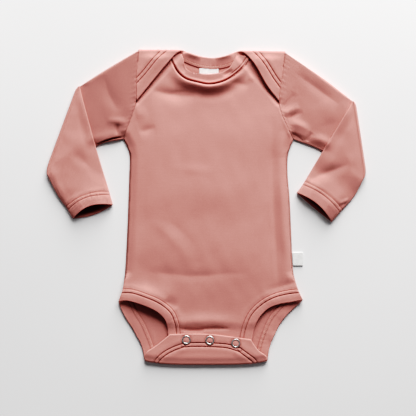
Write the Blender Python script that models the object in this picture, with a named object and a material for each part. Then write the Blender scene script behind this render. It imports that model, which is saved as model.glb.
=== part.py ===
"""Baby bodysuit with lap shoulders, laid flat, both sleeves folded forward at the elbow.

The garment lies on the plane z = 0 with its neck towards +Y.  Every piece of cloth is cut
flat, as a closed wall, and then laid in place: the back rests on the plane, the front lies
on the back, the back's shoulder laps and crotch flap are folded over onto the front, and
each sleeve is a flat tube that turns back on itself at the elbow.

Tables and sizes are in millimetres.  The finished meshes are in metres.
"""
import math
from collections import namedtuple

import bmesh
import bpy
import numpy as np
from mathutils import Vector, geometry

# ---------------------------------------------------------------- driving dimensions (mm)
MM = 0.001
ORIGIN = Vector((-0.25, -1.5, 0.0))     # middle of the underside, in the tables' own frame
CLOTH = 1.1                # thickness of the jersey
HEM = 1.8                  # thickness of a turned hem, pressed flat
GAP = 0.3                  # air left between neighbouring pieces
FOLD_AXIS = 3.0            # height of the axis that the laps and the flap turn about
FOLD_TURN = math.pi * (FOLD_AXIS - CLOTH / 2)      # cloth taken up by the half turn
FOLD_STEPS = 6             # facets round a fold
INNER_RISE = 0.7           # the front lies this much higher inside than at its side seams
SEAM_RISE = 9.0            # width over which it rises
PUFF = 2.0                 # how far the slack upper layer stands off inside its edges
PUFF_REACH = {"left": 20.0, "right": 9.0}          # width over which it comes up to that
CROWN_REACH = 46.0         # the body's crown dies out over this width at the sides
CREASE_MARGIN = 14.0       # creases die out over this width at the sides
ELBOW_AXIS = 2.8           # height of the axis that a sleeve turns about
LAYER_GAP = 0.6            # air between the two halves of a folded sleeve
ELBOW_CORNER = 1.5         # how far the low corner of a folded elbow is drawn in
SHOULDER_AIR = 3.8         # height inside the sleeve head, beside the laps
SHOULDER_REACH = 22.0      # how far that height carries on into the sleeve
LAP_END = 130.0            # the laps reach down the armholes to about this height
SLEEVE_TOP = {"left": 186.0, "right": 181.4}       # height at which each sleeve head starts
SLEEVE_ROLL = {"left": 4.0, "right": 2.6}          # each sleeve's folded top edge stands up by this
ROLL_RADIUS = 11.0         # the roll is this far across
ROLL_FADE = 22.0           # it dies out over this width towards the body and the elbow
PRESS = 0.8                # share by which a forearm flattens the sleeve that it lies on
PRESS_REACH = 12.0         # run over which that sets in
FOREARM_PUFF = 1.2         # how far the forearm's upper layer stands off inside its edges
CUFF_AIR = 1.7             # extra height inside the forearm at the cuff
CUFF_REACH = 50.0          # how far that height carries back up the forearm
FOREARM_FALL = 30.0        # run over which the forearm comes down to the plane
PANEL_GRID = 8.5           # spacing of the points inside the front
BACK_GRID = 14.0           # spacing of the points inside the back
HEM_GRID = 40.0            # a hem needs only the points of its edges
GRID_CLEARANCE = 0.5       # grid points stay this share of their spacing off the outline
FOLD_CLEARANCE = 0.3       # and points on a fold this share
HEM_STEPS = 2              # points of a hem's edges from one row of its table to the next
CROWN_STEPS = 6            # points of the body's crown from one row of its table to the next
ON_LINE = 0.01             # a point nearer than this is on a line
MERGE = 1e-5               # cut points nearer than this are one point
SHARP_ANGLE = math.radians(40)
EDGE_ROUNDING = 0.35       # a sleeve's edge rounds off over this share of its height
INNER_NIP = 0.6            # a sleeve's inside narrows over this width at its edges
SLEEVE_ROWS = 4            # cross sections from one named section of a sleeve to the next
CUFF_ROWS = 2
ELBOW_STEPS = 7            # facets round the elbow
SNAP_OUTER = 10.6          # outer diameter of a snap ring
SNAP_INNER = 6.6           # inner diameter of a snap ring
SNAP_HEIGHT = 1.1
SNAP_FACETS = 20
# Half of a ring's section: how far out and up, as shares of its half width and its height
SNAP_PROFILE = [(-1.0, 0.0), (-1.0, 0.5), (-0.5, 1.0), (0.5, 1.0), (1.0, 0.5), (1.0, 0.0)]
LABEL_THICKNESS = 0.6
TAB_THICKNESS = 0.9
CROTCH_BOW = 5.0           # how far the ends of the crotch fold curve up
CROTCH_HALF = 74.0         # half the width of the crotch fold
CROTCH_BOW_TOP = -150.0    # the bow has died out at this height
CROTCH_BOW_LOW = -184.0

Fold = namedtuple("Fold", "x0 y0 x1 y1")        # cloth on the right of the line turns over
SHOULDER_FOLD = Fold(96.5, 182.0, -80.5, 184.2)
CROTCH_FOLD = Fold(-79.0, -187.2, 80.0, -187.2)

# ------------------------------------------------------------------------------ tables
Edge = namedtuple("Edge", "y left right")
ARMHOLE = [
    Edge(186.8, -81.0, 95.6),
    Edge(165.0, -82.5, 92.5),
    Edge(148.0, -83.5, 89.7),
    Edge(133.0, -83.2, 88.0),
    Edge(122.0, -84.2, 87.6),
    Edge(111.0, -88.0, 90.0),
    Edge(99.5, -92.0, 95.0),
    Edge(89.0, -96.0, 100.0),
    Edge(80.0, -99.0, 105.0),
]
SIDE_SEAM = [
    Edge(80.0, -99.0, 105.0),
    Edge(69.0, -93.5, 100.5),
    Edge(57.0, -91.5, 98.0),
    Edge(37.0, -92.0, 98.0),
    Edge(7.0, -93.0, 100.5),
    Edge(-38.0, -94.8, 102.5),
    Edge(-77.0, -97.0, 104.5),
    Edge(-101.5, -100.0, 110.5),
]

# A row is one section across a hem: its free edge and the seam where it meets the panel.
Section = namedtuple("Section", "edge_x edge_y seam_x seam_y")
FRONT_NECK = [
    Section(-29.0, 181.8, -43.0, 181.8),
    Section(-26.5, 174.5, -38.5, 171.0),
    Section(-24.5, 165.5, -32.5, 160.5),
    Section(-18.0, 160.0, -23.5, 153.0),
    Section(-7.0, 158.0, -10.5, 149.0),
    Section(5.0, 157.5, 4.5, 146.5),
    Section(17.5, 159.5, 20.5, 150.0),
    Section(27.0, 164.5, 34.5, 158.5),
    Section(32.5, 172.5, 44.0, 167.5),
    Section(36.5, 180.0, 52.0, 180.0),
]
FRONT_LEG_LEFT = [
    Section(-105.0, -114.5, -100.0, -101.5),
    Section(-93.0, -113.5, -87.0, -102.0),
    Section(-76.5, -118.0, -71.0, -107.0),
    Section(-61.5, -124.5, -54.5, -114.5),
    Section(-51.0, -133.5, -41.0, -126.0),
    Section(-46.5, -144.5, -35.0, -140.0),
    Section(-45.5, -158.0, -33.0, -155.5),
    Section(-45.0, -172.5, -32.5, -172.5),
]
FRONT_LEG_RIGHT = [
    Section(116.0, -112.5, 110.5, -101.5),
    Section(100.0, -115.5, 98.0, -103.0),
    Section(84.5, -118.5, 82.0, -107.0),
    Section(73.0, -124.0, 67.5, -114.5),
    Section(64.0, -133.5, 54.5, -126.5),
    Section(58.5, -144.5, 47.5, -139.5),
    Section(55.5, -159.0, 43.0, -156.0),
    Section(54.5, -172.5, 42.0, -172.5),
]
# The hems of the back run on across its folds, so they are listed as they are cut, unfolded.
BACK_LEG_LEFT = [
    Section(-105.0, -114.5, -100.0, -101.5),
    Section(-101.5, -124.5, -90.5, -114.5),
    Section(-95.0, -136.5, -84.0, -128.0),
    Section(-86.5, -150.0, -75.0, -143.0),
    Section(-80.0, -164.5, -68.0, -160.5),
    Section(-76.0, -177.5, -63.5, -175.5),
    Section(-74.0, -189.0, -60.5, -189.5),
    Section(-71.0, -203.5, -57.0, -197.0),
    Section(-60.5, -213.6, -49.0, -205.0),
    Section(-51.5, -221.5, -39.0, -211.0),
    Section(-43.0, -229.1, -27.5, -215.6),
]
BACK_LEG_RIGHT = [
    Section(116.0, -112.5, 110.5, -101.5),
    Section(107.0, -121.5, 97.5, -112.5),
    Section(96.5, -131.5, 86.5, -123.5),
    Section(87.5, -144.0, 76.0, -137.0),
    Section(81.5, -157.0, 69.5, -152.0),
    Section(77.0, -170.5, 65.0, -166.5),
    Section(74.5, -184.0, 61.5, -182.5),
    Section(72.5, -197.5, 58.5, -193.5),
    Section(62.5, -208.0, 50.5, -201.5),
    Section(53.5, -222.6, 40.0, -210.1),
]
CROTCH_END = [
    Section(-43.0, -229.1, -27.5, -215.6),
    Section(-19.0, -229.6, -14.5, -216.4),
    Section(5.0, -229.1, 5.0, -216.1),
    Section(29.0, -226.3, 25.0, -214.6),
    Section(53.5, -222.6, 40.0, -210.1),
]
BACK_NECK = [
    Section(-81.1, 250.4, -81.9, 226.6),
    Section(-61.5, 225.2, -72.6, 216.0),
    Section(-45.5, 205.0, -56.7, 196.0),
    Section(-36.0, 194.0, -44.5, 186.0),
    Section(-26.0, 187.0, -33.0, 179.0),
    Section(-17.5, 182.5, -23.0, 173.0),
    Section(-5.0, 179.0, -8.0, 167.5),
    Section(8.5, 177.5, 8.5, 165.5),
    Section(21.5, 179.3, 25.0, 168.0),
    Section(31.5, 183.2, 38.0, 174.0),
    Section(41.5, 188.2, 50.0, 181.5),
    Section(51.0, 195.0, 61.5, 190.0),
    Section(60.5, 207.0, 71.5, 201.5),
    Section(73.0, 228.0, 83.0, 218.5),
    Section(88.5, 247.0, 89.6, 227.0),
]

# A sleeve as it lies, by the two ends of each of its cross sections.
Cross = namedtuple("Cross", "top_x top_y low_x low_y")
Sleeve = namedtuple("Sleeve", "upper elbow fore hem cuff")
SLEEVES = {
    "left": Sleeve(
        upper=Cross(-117.0, 165.0, -132.0, 71.5),
        elbow=Cross(-151.5, 143.5, -191.0, 37.0),
        fore=Cross(-132.0, 72.0, -176.5, 11.0),
        hem=Cross(-115.5, 15.5, -166.5, -3.0),
        cuff=Cross(-111.5, 1.5, -159.5, -15.0),
    ),
    "right": Sleeve(
        upper=Cross(137.0, 155.0, 143.0, 64.0),
        elbow=Cross(176.0, 125.5, 190.0, 33.0),
        fore=Cross(142.5, 70.5, 177.5, 11.5),
        hem=Cross(117.0, 27.5, 162.0, -6.0),
        cuff=Cross(108.5, 16.0, 150.5, -19.0),
    ),
}

# Soft ridges (rise above 0) and troughs of the upper layer, each along a short line.
Crease = namedtuple("Crease", "x0 y0 x1 y1 half_width rise")
BODY_CREASES = [
    Crease(-28.0, 148.0, 36.0, 146.0, 10.0, 2.6),      # roll under the neck hem
    Crease(-32.0, 130.0, 30.0, 128.0, 8.0, -0.9),      # hollow below the roll
    Crease(80.0, 98.0, 80.0, -68.0, 8.0, -2.4),        # trough by the right side seam
    Crease(-80.0, 88.0, -62.0, 93.0, 6.0, -1.2),       # dimple by the left armpit
    Crease(-116.0, 104.5, -94.0, 102.0, 5.0, 1.4),     # gather at the left armpit
    Crease(-120.0, 152.0, -106.0, 116.0, 8.0, -1.4),   # trough along the left upper arm
    Crease(110.0, 157.0, 156.0, 123.0, 7.0, -1.4),     # trough along the right upper arm
    Crease(94.0, 110.0, 109.0, 118.0, 5.0, 1.4),       # gathers at the right armpit
    Crease(103.0, 99.0, 122.0, 90.0, 5.0, 1.8),
    Crease(130.0, 82.0, 146.0, 75.0, 5.0, 1.2),
    Crease(-84.0, -93.0, -40.0, -102.0, 10.0, 1.6),    # left hip
    Crease(50.0, -51.0, 90.0, -57.0, 24.0, 1.6),       # right hip
    Crease(-34.0, -138.0, 34.0, -137.0, 7.0, 1.6),     # roll above the flap
]
FOREARM_CREASES = [
    Crease(-152.0, 88.0, -147.0, 22.0, 20.0, 0.8),     # crown of the left forearm
    Crease(155.0, 80.0, 136.0, 20.0, 14.0, 1.2),       # crown of the right forearm
    Crease(122.0, 39.0, 172.0, 48.0, 7.0, -1.8),       # and the trough across it
    Crease(160.0, 2.0, 168.0, 6.0, 5.0, 1.2),
]
# The corners of each lap as it lies; the front is flat under it.
LAPS = [
    [(-83.0, 125.4), (-28.0, 186.0), (-81.0, 187.0)],
    [(36.0, 184.0), (95.0, 187.0), (87.0, 124.4)],
]
LAP_MARGIN = 9.0           # creases of the front die out over this width beside a lap
FLAP_TOP = -150.0
FLAP_MARGIN = 12.0

# Height of the body's crown down its middle, above the level of its edges
Crown = namedtuple("Crown", "y rise")
BODY_CROWN = [
    Crown(160.0, 0.0),
    Crown(112.0, 1.6),
    Crown(80.0, 3.0),
    Crown(40.0, 3.6),
    Crown(-10.0, 3.0),
    Crown(-60.0, 2.0),
    Crown(-95.0, -0.2),
    Crown(-125.0, -1.6),
    Crown(-150.0, -1.0),
]
CROWN_SIDES = {"left": (-96.0, -66.0), "right": (102.0, 72.0)}     # from no crown to all of it

SNAP_CENTRES = [(-23.5, -160.0), (4.5, -160.5), (35.5, -164.0)]
NECK_LABEL = [(-8.0, 164.6), (-8.0, 150.5), (15.0, 150.5), (15.0, 164.9)]
SIDE_LABEL = [(103.7, -55.5), (104.6, -71.5), (116.3, -71.5), (116.3, -55.5)]
SIDE_LABEL_REST = 0.4      # height of the tab's underside


# ------------------------------------------------------------------------ plane geometry
def smooth_rows(rows, steps):
    """Catmull-Rom curve through the rows of a table, with steps points from row to row."""
    table = np.array(rows, dtype=float)
    padded = np.vstack([2 * table[0] - table[1], table, 2 * table[-1] - table[-2]])
    points = []
    for before, start, end, after in zip(padded, padded[1:], padded[2:], padded[3:]):
        for step in range(steps):
            t = step / steps
            points.append(0.5 * (
                2 * start + (end - before) * t
                + (2 * before - 5 * start + 4 * end - after) * t ** 2
                + (3 * start - before - 3 * end + after) * t ** 3
            ))
    points.append(table[-1])
    return np.array(points)


def ramp(value, low, high):
    """Rise smoothly from 0 at low to 1 at high."""
    t = np.clip((value - low) / (high - low), 0.0, 1.0)
    return t * t * (3 - 2 * t)


def rounded(to_edge, radius):
    """Share of full height at a distance from a rounded edge."""
    t = np.clip(to_edge / radius, 0.0, 1.0)
    return np.sqrt(1 - (1 - t) ** 2)


def distance_to(points, line):
    """Distance of each point to an open polyline."""
    line = np.array(line, dtype=float)
    start = line[:-1]
    run = line[1:] - start
    offset = points[:, None, :] - start
    along = np.clip((offset * run).sum(2) / (run * run).sum(1), 0.0, 1.0)
    return np.sqrt(((offset - along[..., None] * run) ** 2).sum(2)).min(1)


def side_of(points, start, end):
    """Signed distance of each point to a line, positive on its right."""
    run = np.array(end) - np.array(start)
    offset = points - np.array(start)
    return (offset[:, 0] * run[1] - offset[:, 1] * run[0]) / np.hypot(*run)


def inside(points, outline):
    """Which points lie inside a closed outline."""
    x, y = points[:, :1], points[:, 1:]
    x0, y0 = outline.T
    x1, y1 = np.roll(outline, -1, axis=0).T
    crosses = (y0 > y) != (y1 > y)
    height = np.where(y1 == y0, 1.0, y1 - y0)
    left_of = x < x0 + (y - y0) * (x1 - x0) / height
    return ((crosses & left_of).sum(1) % 2) == 1


def beyond(points, fold):
    """How far each point lies beyond a fold line, before folding."""
    return side_of(points, (fold.x0, fold.y0), (fold.x1, fold.y1))


def fold_normal(fold):
    """Unit vector across a fold line, towards the cloth that turns over."""
    run = np.array([fold.y1 - fold.y0, fold.x0 - fold.x1])
    return run / np.hypot(*run)


def unfolded(points, fold):
    """Where cloth that lies folded over was cut, before folding."""
    inner = -beyond(points, fold)
    return points + (2 * inner + FOLD_TURN)[:, None] * fold_normal(fold)


def cut_at_fold(outline, fold):
    """Add a point to an outline wherever it crosses one of a fold's facet lines."""
    points = []
    for start, end in zip(outline, np.roll(outline, -1, axis=0)):
        points.append(start)
        d0, d1 = beyond(np.array([start, end]), fold)
        levels = [FOLD_TURN * step / FOLD_STEPS for step in range(FOLD_STEPS + 1)]
        crossed = [(level - d0) / (d1 - d0) for level in levels
                   if min(d0, d1) + ON_LINE < level < max(d0, d1) - ON_LINE]
        points.extend(start + t * (end - start) for t in sorted(crossed))
    return np.array(points)


def grid_points(outline, spacing, folds):
    """Points inside an outline: a plain grid, and rows along the facets of each fold."""
    low, high = outline.min(0), outline.max(0)
    xs = np.arange(low[0] + spacing / 2, high[0], spacing)
    ys = np.arange(low[1] + spacing / 2, high[1], spacing)
    grid = np.array([(x, y) for y in ys for x in xs])
    clear = np.ones(len(grid), dtype=bool)
    rows = [np.empty((0, 2))]
    for fold in folds:
        depth = beyond(grid, fold)
        clear &= (depth < -spacing / 2) | (depth > FOLD_TURN + spacing / 2)
        start = np.array([fold.x0, fold.y0])
        run = np.array([fold.x1, fold.y1]) - start
        count = int(np.hypot(*run) / spacing)
        for step in range(FOLD_STEPS + 1):
            across = start + fold_normal(fold) * FOLD_TURN * step / FOLD_STEPS
            rows.append(np.array([across + run * k / count for k in range(count + 1)]))
    fold_rows = np.vstack(rows)
    closed = np.vstack([outline, outline[:1]])
    kept = []
    for points, clearance in ((grid[clear], GRID_CLEARANCE), (fold_rows, FOLD_CLEARANCE)):
        if len(points):
            off_edge = distance_to(points, closed) > clearance * spacing
            kept.append(points[inside(points, outline) & off_edge])
    return np.vstack(kept) if kept else np.empty((0, 2))


def fold_edges(outline, fold):
    """Pairs of outline points that face each other along a facet line of a fold."""
    depth = beyond(outline, fold)
    along = outline @ np.array([fold.x1 - fold.x0, fold.y1 - fold.y0])
    pairs = []
    for step in range(FOLD_STEPS + 1):
        on_line = np.flatnonzero(np.abs(depth - FOLD_TURN * step / FOLD_STEPS) < ON_LINE)
        on_line = on_line[np.argsort(along[on_line])]
        for start, end in zip(on_line, on_line[1:]):
            middle = (outline[start] + outline[end]) / 2
            if inside(middle[None], outline)[0] and abs(start - end) > 1:
                pairs.append((int(start), int(end)))
    return pairs


def hem_outline(sections):
    """Outline of a hem, GAP clear of the panel along the seam."""
    edge, seam = sections[:, :2], sections[:, 2:]
    across = edge - seam
    across /= np.hypot(*across.T)[:, None]
    return np.vstack([seam + GAP * across, edge[::-1]])


# -------------------------------------------------------------------- how the cloth lies
def side_points(rows, side):
    """One side of a table of edges, as points."""
    return np.array([(getattr(row, side), row.y) for row in rows])


def armhole_below(side, top_y):
    """The armhole of one side, from a height below the shoulder down."""
    armhole = side_points(ARMHOLE, side)
    share = (armhole[0, 1] - top_y) / (armhole[0, 1] - armhole[1, 1])
    armhole[0] += share * (armhole[1] - armhole[0])
    return armhole


def sleeve_top(side):
    """The folded top edge of the upper sleeve."""
    sleeve = SLEEVES[side]
    return np.vstack([side_points(ARMHOLE[:1], side), [sleeve.upper[:2], sleeve.elbow[:2]]])


def sleeve_low(side):
    """The low edge of the upper sleeve, from the elbow to the armpit."""
    sleeve = SLEEVES[side]
    return np.vstack([[sleeve.elbow[2:], sleeve.upper[2:]], side_points(SIDE_SEAM[:1], side)])


def side_distance(points, side):
    """Distance to the outer edges of the front and the upper sleeve of one side."""
    seam = side_points(SIDE_SEAM[1:-1], side)
    return distance_to(points, np.vstack([sleeve_top(side), sleeve_low(side), seam]))


def crease_height(points, creases):
    """Height that a table of creases adds at each point."""
    total = np.zeros(len(points))
    for crease in creases:
        line = ((crease.x0, crease.y0), (crease.x1, crease.y1))
        total += crease.rise * np.exp(-(distance_to(points, line) / crease.half_width) ** 2)
    return total


def body_crown(points, edge):
    """How far the slack body stands up in its middle."""
    y, rise = smooth_rows(BODY_CROWN, CROWN_STEPS)[::-1].T
    left, right = CROWN_SIDES["left"], CROWN_SIDES["right"]
    across = ramp(points[:, 0], *left) * (1 - ramp(points[:, 0], *right[::-1]))
    return np.interp(points[:, 1], y, rise) * across * ramp(edge, 0.0, CROWN_REACH)


def air_under_front(points):
    """Height of the air between the lower and the upper layer of body and sleeves."""
    edges = {side: side_distance(points, side) for side in ("left", "right")}
    edge = np.minimum(edges["left"], edges["right"])
    height = GAP + INNER_RISE * ramp(edge, 0.0, SEAM_RISE)
    margin = ramp(edge, 0.0, CREASE_MARGIN) * ramp(points[:, 1], FLAP_TOP, FLAP_TOP + FLAP_MARGIN)
    for lap in LAPS:
        beside = distance_to(points, lap + lap[:1])
        margin *= np.where(inside(points, np.array(lap)), 0.0, ramp(beside, 0.0, LAP_MARGIN))
    form = crease_height(points, BODY_CREASES) + body_crown(points, edge)
    form += PUFF * rounded(edges["left"], PUFF_REACH["left"]) * rounded(edges["right"], PUFF_REACH["right"])
    return height + np.maximum(margin * form, 0.0)


def bowed(points):
    """Curve the ends of the crotch fold up."""
    reach = ramp(-points[:, 1], -CROTCH_BOW_TOP, -CROTCH_BOW_LOW)
    moved = points.copy()
    moved[:, 1] += CROTCH_BOW * reach * (np.abs(points[:, 0]) / CROTCH_HALF) ** 4
    return moved


def lay_front(points, height):
    """The front and its hems lie on the back."""
    rest = CLOTH + air_under_front(points)
    return np.column_stack([bowed(points), rest + height])


def lay_back(points, height):
    """The back rests on the plane; its laps and its flap turn over onto the front."""
    plan = points.copy()
    level = height.copy()
    for fold in (SHOULDER_FOLD, CROTCH_FOLD):
        depth = beyond(points, fold)
        angle = np.clip(depth / FOLD_TURN, 0.0, 1.0) * math.pi
        radius = FOLD_AXIS - height
        back = radius * np.sin(angle) - np.maximum(depth, 0.0) - np.maximum(depth - FOLD_TURN, 0.0)
        plan += back[:, None] * fold_normal(fold)
        level = np.where(depth > 0, FOLD_AXIS - radius * np.cos(angle), level)
    return np.column_stack([bowed(plan), level])


# ---------------------------------------------------------------------------- mesh making
def material(name, colour, roughness=0.9, metallic=0.0):
    """A plain Principled material."""
    made = bpy.data.materials.new(name)
    made.use_nodes = True
    shader = made.node_tree.nodes["Principled BSDF"]
    shader.inputs["Base Color"].default_value = (*colour, 1.0)
    shader.inputs["Roughness"].default_value = roughness
    shader.inputs["Metallic"].default_value = metallic
    return made


def in_metres(place):
    """A place in the tables' millimetres, as a point of the finished model."""
    return (Vector(place) - ORIGIN) * MM


def add_object(name, mesh, look):
    """Turn a bmesh into a named object, with smooth shading but for its sharp rims."""
    bmesh.ops.recalc_face_normals(mesh, faces=mesh.faces)
    if mesh.calc_volume(signed=True) < 0:
        bmesh.ops.reverse_faces(mesh, faces=mesh.faces)
    data = bpy.data.meshes.new(name)
    mesh.to_mesh(data)
    mesh.free()
    data.shade_smooth()
    data.set_sharp_from_angle(angle=SHARP_ANGLE)
    data.materials.append(look)
    made = bpy.data.objects.new(name, data)
    bpy.context.scene.collection.objects.link(made)
    return made


def add_cloth(name, outline, thickness, lay, look, spacing=HEM_GRID, folds=()):
    """Cut a piece of cloth along an outline, give it its thickness and lay it in place."""
    for fold in folds:
        outline = cut_at_fold(outline, fold)
    across = [pair for fold in folds for pair in fold_edges(outline, fold)]
    points = np.vstack([outline, grid_points(outline, spacing, folds)])
    corners = list(range(len(outline)))
    inner_triangles = 1
    flat, _, faces, *_ = geometry.delaunay_2d_cdt(
        [Vector(point) for point in points], across, [corners], inner_triangles, MERGE)
    mesh = bmesh.new()
    verts = [mesh.verts.new((point.x, point.y, 0.0)) for point in flat]
    for face in faces:
        mesh.faces.new([verts[index] for index in face])
    grown = bmesh.ops.extrude_face_region(mesh, geom=mesh.faces[:], use_keep_orig=True)
    upper = [item for item in grown["geom"] if isinstance(item, bmesh.types.BMVert)]
    bmesh.ops.translate(mesh, verts=upper, vec=(0.0, 0.0, thickness))
    cut = np.array([vert.co for vert in mesh.verts])
    for vert, place in zip(mesh.verts, lay(cut[:, :2], cut[:, 2])):
        vert.co = in_metres(place)
    return add_object(name, mesh, look)


def join_rings(mesh, rings, closed=False):
    """Add rings of equally many points to a mesh, with faces from each ring to the next."""
    loops = [[mesh.verts.new(in_metres(point)) for point in ring] for ring in rings]
    following = loops[1:] + loops[:1] if closed else loops[1:]
    for loop, after in zip(loops, following):
        for k, vert in enumerate(loop):
            mesh.faces.new((loop[k - 1], vert, after[k], after[k - 1]))
    return loops


# ------------------------------------------------------------------------------- sleeves
def cross_points(cross, shares):
    """Points along a cross section, as one flat row."""
    top = np.array([cross.top_x, cross.top_y])
    low = np.array([cross.low_x, cross.low_y])
    return (top + shares[:, None] * (low - top)).ravel()


def rows_through(sections, steps=SLEEVE_ROWS):
    """Cross sections at every step from the first to the last given one."""
    rows = smooth_rows(sections, steps)
    return rows.reshape(len(rows), -1, 2)


def upper_height(points, side):
    """Full height of the upper sleeve, from the plane to its upper face."""
    sleeve = SLEEVES[side]
    beside_lap = side_points([row for row in ARMHOLE if row.y > LAP_END], side)
    beside_body = side_points([row for row in ARMHOLE if row.y < LAP_END], side)
    head = 1 - ramp(distance_to(points, beside_lap), 0.0, SHOULDER_REACH)
    to_top = distance_to(points, sleeve_top(side))
    to_low = distance_to(points, sleeve_low(side))
    to_elbow = distance_to(points, (sleeve.elbow[:2], sleeve.elbow[2:]))
    share = to_low / np.maximum(to_top + to_low, ON_LINE)
    roll = SLEEVE_ROLL[side] * share * rounded(to_top, ROLL_RADIUS) * ramp(to_elbow, 0.0, ROLL_FADE)
    roll *= ramp(distance_to(points, beside_body), 0.0, ROLL_FADE)
    under_fore = side_of(points, sleeve.elbow[:2], sleeve.fore[:2]) * (1 if side == "left" else -1)
    pressed = 1 - PRESS * ramp(under_fore, 0.0, PRESS_REACH)
    air = GAP + (air_under_front(points) + roll - GAP) * pressed
    return 2 * CLOTH + air + head * (SHOULDER_AIR - air)


def fore_height(points, side):
    """Full height of the forearm, between its lower and its upper face."""
    sleeve = SLEEVES[side]
    hem = ((sleeve.hem.top_x, sleeve.hem.top_y), (sleeve.hem.low_x, sleeve.hem.low_y))
    tops = [(cross.top_x, cross.top_y) for cross in (sleeve.elbow, sleeve.fore, sleeve.cuff)]
    lows = [(cross.low_x, cross.low_y) for cross in (sleeve.elbow, sleeve.fore, sleeve.cuff)]
    margin = ramp(distance_to(points, tops[:1] + lows), 0.0, CREASE_MARGIN)
    margin *= ramp(distance_to(points, tops), 0.0, CREASE_MARGIN)
    opening = CUFF_AIR * (1 - ramp(distance_to(points, hem), 0.0, CUFF_REACH))
    crown = margin * np.maximum(crease_height(points, FOREARM_CREASES) + FOREARM_PUFF, 0.0)
    return 2 * CLOTH + GAP + opening + crown


def fore_rest(points, side):
    """Height of whatever the forearm lies on."""
    sleeve = SLEEVES[side]
    elbow = np.array([sleeve.elbow.low_x, sleeve.elbow.low_y])
    upper = np.array([sleeve.upper.low_x, sleeve.upper.low_y])
    past = side_of(points, upper, elbow) * (-1 if side == "left" else 1)
    flat = 2 * CLOTH + GAP
    below = np.where(past > 0, flat, upper_height(points, side))
    return (below + LAYER_GAP) * (1 - ramp(past, 0.0, FOREARM_FALL))


def ring_profile(row, height, wall):
    """A flat tube's section: plan place and height of its outer, then its inner points."""
    first, last = row[0], row[-1]
    inward = (last - first) / np.hypot(*(last - first))

    def loop(start, bottom, top, nip):
        """One closed loop, start in from both edges, nipped in at its corners."""
        lower = row.copy()
        lower[0] = first + (start[0] + nip[0]) * inward
        lower[-1] = last - (start[-1] + nip[-1]) * inward
        ends = np.array([last - start[-1] * inward, first + start[0] * inward])
        middle = (bottom + top) / 2
        plan = np.vstack([lower, ends[:1], lower[::-1], ends[1:]])
        level = np.concatenate([bottom, middle[-1:], top[::-1], middle[:1]])
        return plan, level

    flush = np.zeros(len(row))
    outer = loop(flush, flush, height, EDGE_ROUNDING * height)
    inner = loop(flush + wall, flush + wall, height - wall, flush + INNER_NIP)
    return outer, inner


def add_tube(name, stations, wall, look):
    """A flat tube through its stations: each is a row, its heights and how it is placed."""
    outer_rings, inner_rings = [], []
    for row, height, place in stations:
        outer, inner = ring_profile(row, height, wall)
        full = np.concatenate([height, height[-1:], height[::-1], height[:1]])
        base = np.vstack([row, row[-1:], row[::-1], row[:1]])
        outer_rings.append(place(*outer, full, base))
        inner_rings.append(place(*inner, full, base))
    mesh = bmesh.new()
    outer_loops = join_rings(mesh, outer_rings)
    inner_loops = join_rings(mesh, inner_rings)
    for outer, inner in ((outer_loops[0], inner_loops[0]), (outer_loops[-1], inner_loops[-1])):
        for k, vert in enumerate(outer):
            mesh.faces.new((outer[k - 1], vert, inner[k], inner[k - 1]))
    return add_object(name, mesh, look)


def lie_on_plane(plan, level, full, base):
    """Placing of the upper sleeve."""
    return np.column_stack([plan, level])


def turned(angle, outward):
    """Placing of a section on the elbow's fold, at an angle round its axis."""
    def place(plan, level, full, base):
        radius = ELBOW_AXIS - level
        shift = radius[:, None] * math.sin(angle) * outward
        return np.column_stack([plan + shift, ELBOW_AXIS - radius * math.cos(angle)])
    return place


def turned_over(side):
    """Placing of the forearm: upside down, on whatever lies under it."""
    def place(plan, level, full, base):
        return np.column_stack([plan, fore_rest(base, side) + full - level])
    return place


def add_sleeve(side, look):
    """One sleeve and its cuff."""
    sleeve = SLEEVES[side]
    sign = -1 if side == "left" else 1
    armhole = armhole_below(side, SLEEVE_TOP[side]) + np.array([sign * GAP, 0.0])
    shares = np.linspace(0.0, 1.0, len(ARMHOLE))
    upper, elbow, fore, hem, cuff = (cross_points(cross, shares) for cross in sleeve)
    run = elbow[-2:] - elbow[:2]
    outward = np.array([run[1], -run[0]]) / np.hypot(*run) * -sign
    elbow[-2:] -= ELBOW_CORNER * outward
    stations = []
    for row in rows_through([armhole.ravel(), upper, elbow])[:-1]:
        stations.append((row, upper_height(row, side), lie_on_plane))
    flat = np.full(len(ARMHOLE), 2 * CLOTH + GAP)
    for step in range(ELBOW_STEPS + 1):
        angle = math.pi * step / ELBOW_STEPS
        stations.append((elbow.reshape(-1, 2), flat, turned(angle, outward)))
    for row in rows_through([elbow, fore, hem])[1:]:
        stations.append((row, fore_height(row, side), turned_over(side)))
    add_tube(f"sleeve_{side}", stations, CLOTH, look)
    along = (cuff - hem) / np.hypot(*(cuff - hem)[:2])
    cuff_rows = rows_through([hem + GAP * along, cuff], CUFF_ROWS)
    stations = [(row, fore_height(row, side), turned_over(side)) for row in cuff_rows]
    add_tube(f"cuff_{side}", stations, HEM, look)


# ------------------------------------------------------------------- body, hems and trims
def body_side(side, top_y):
    """Armhole and side seam of one side, from a height below the shoulder down to the leg."""
    seam = smooth_rows(side_points(SIDE_SEAM, side), HEM_STEPS)
    return np.vstack([armhole_below(side, top_y), seam[1:-1]])


def add_front(look, neck, legs):
    """The front panel, inside its hems."""
    outline = np.vstack([
        body_side("left", FRONT_NECK[0].seam_y),
        legs["left"][:, 2:],
        legs["right"][::-1, 2:],
        body_side("right", FRONT_NECK[-1].seam_y)[::-1],
        neck[::-1, 2:],
    ])
    add_cloth("front_panel", outline, CLOTH, lay_front, look, PANEL_GRID)


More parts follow.
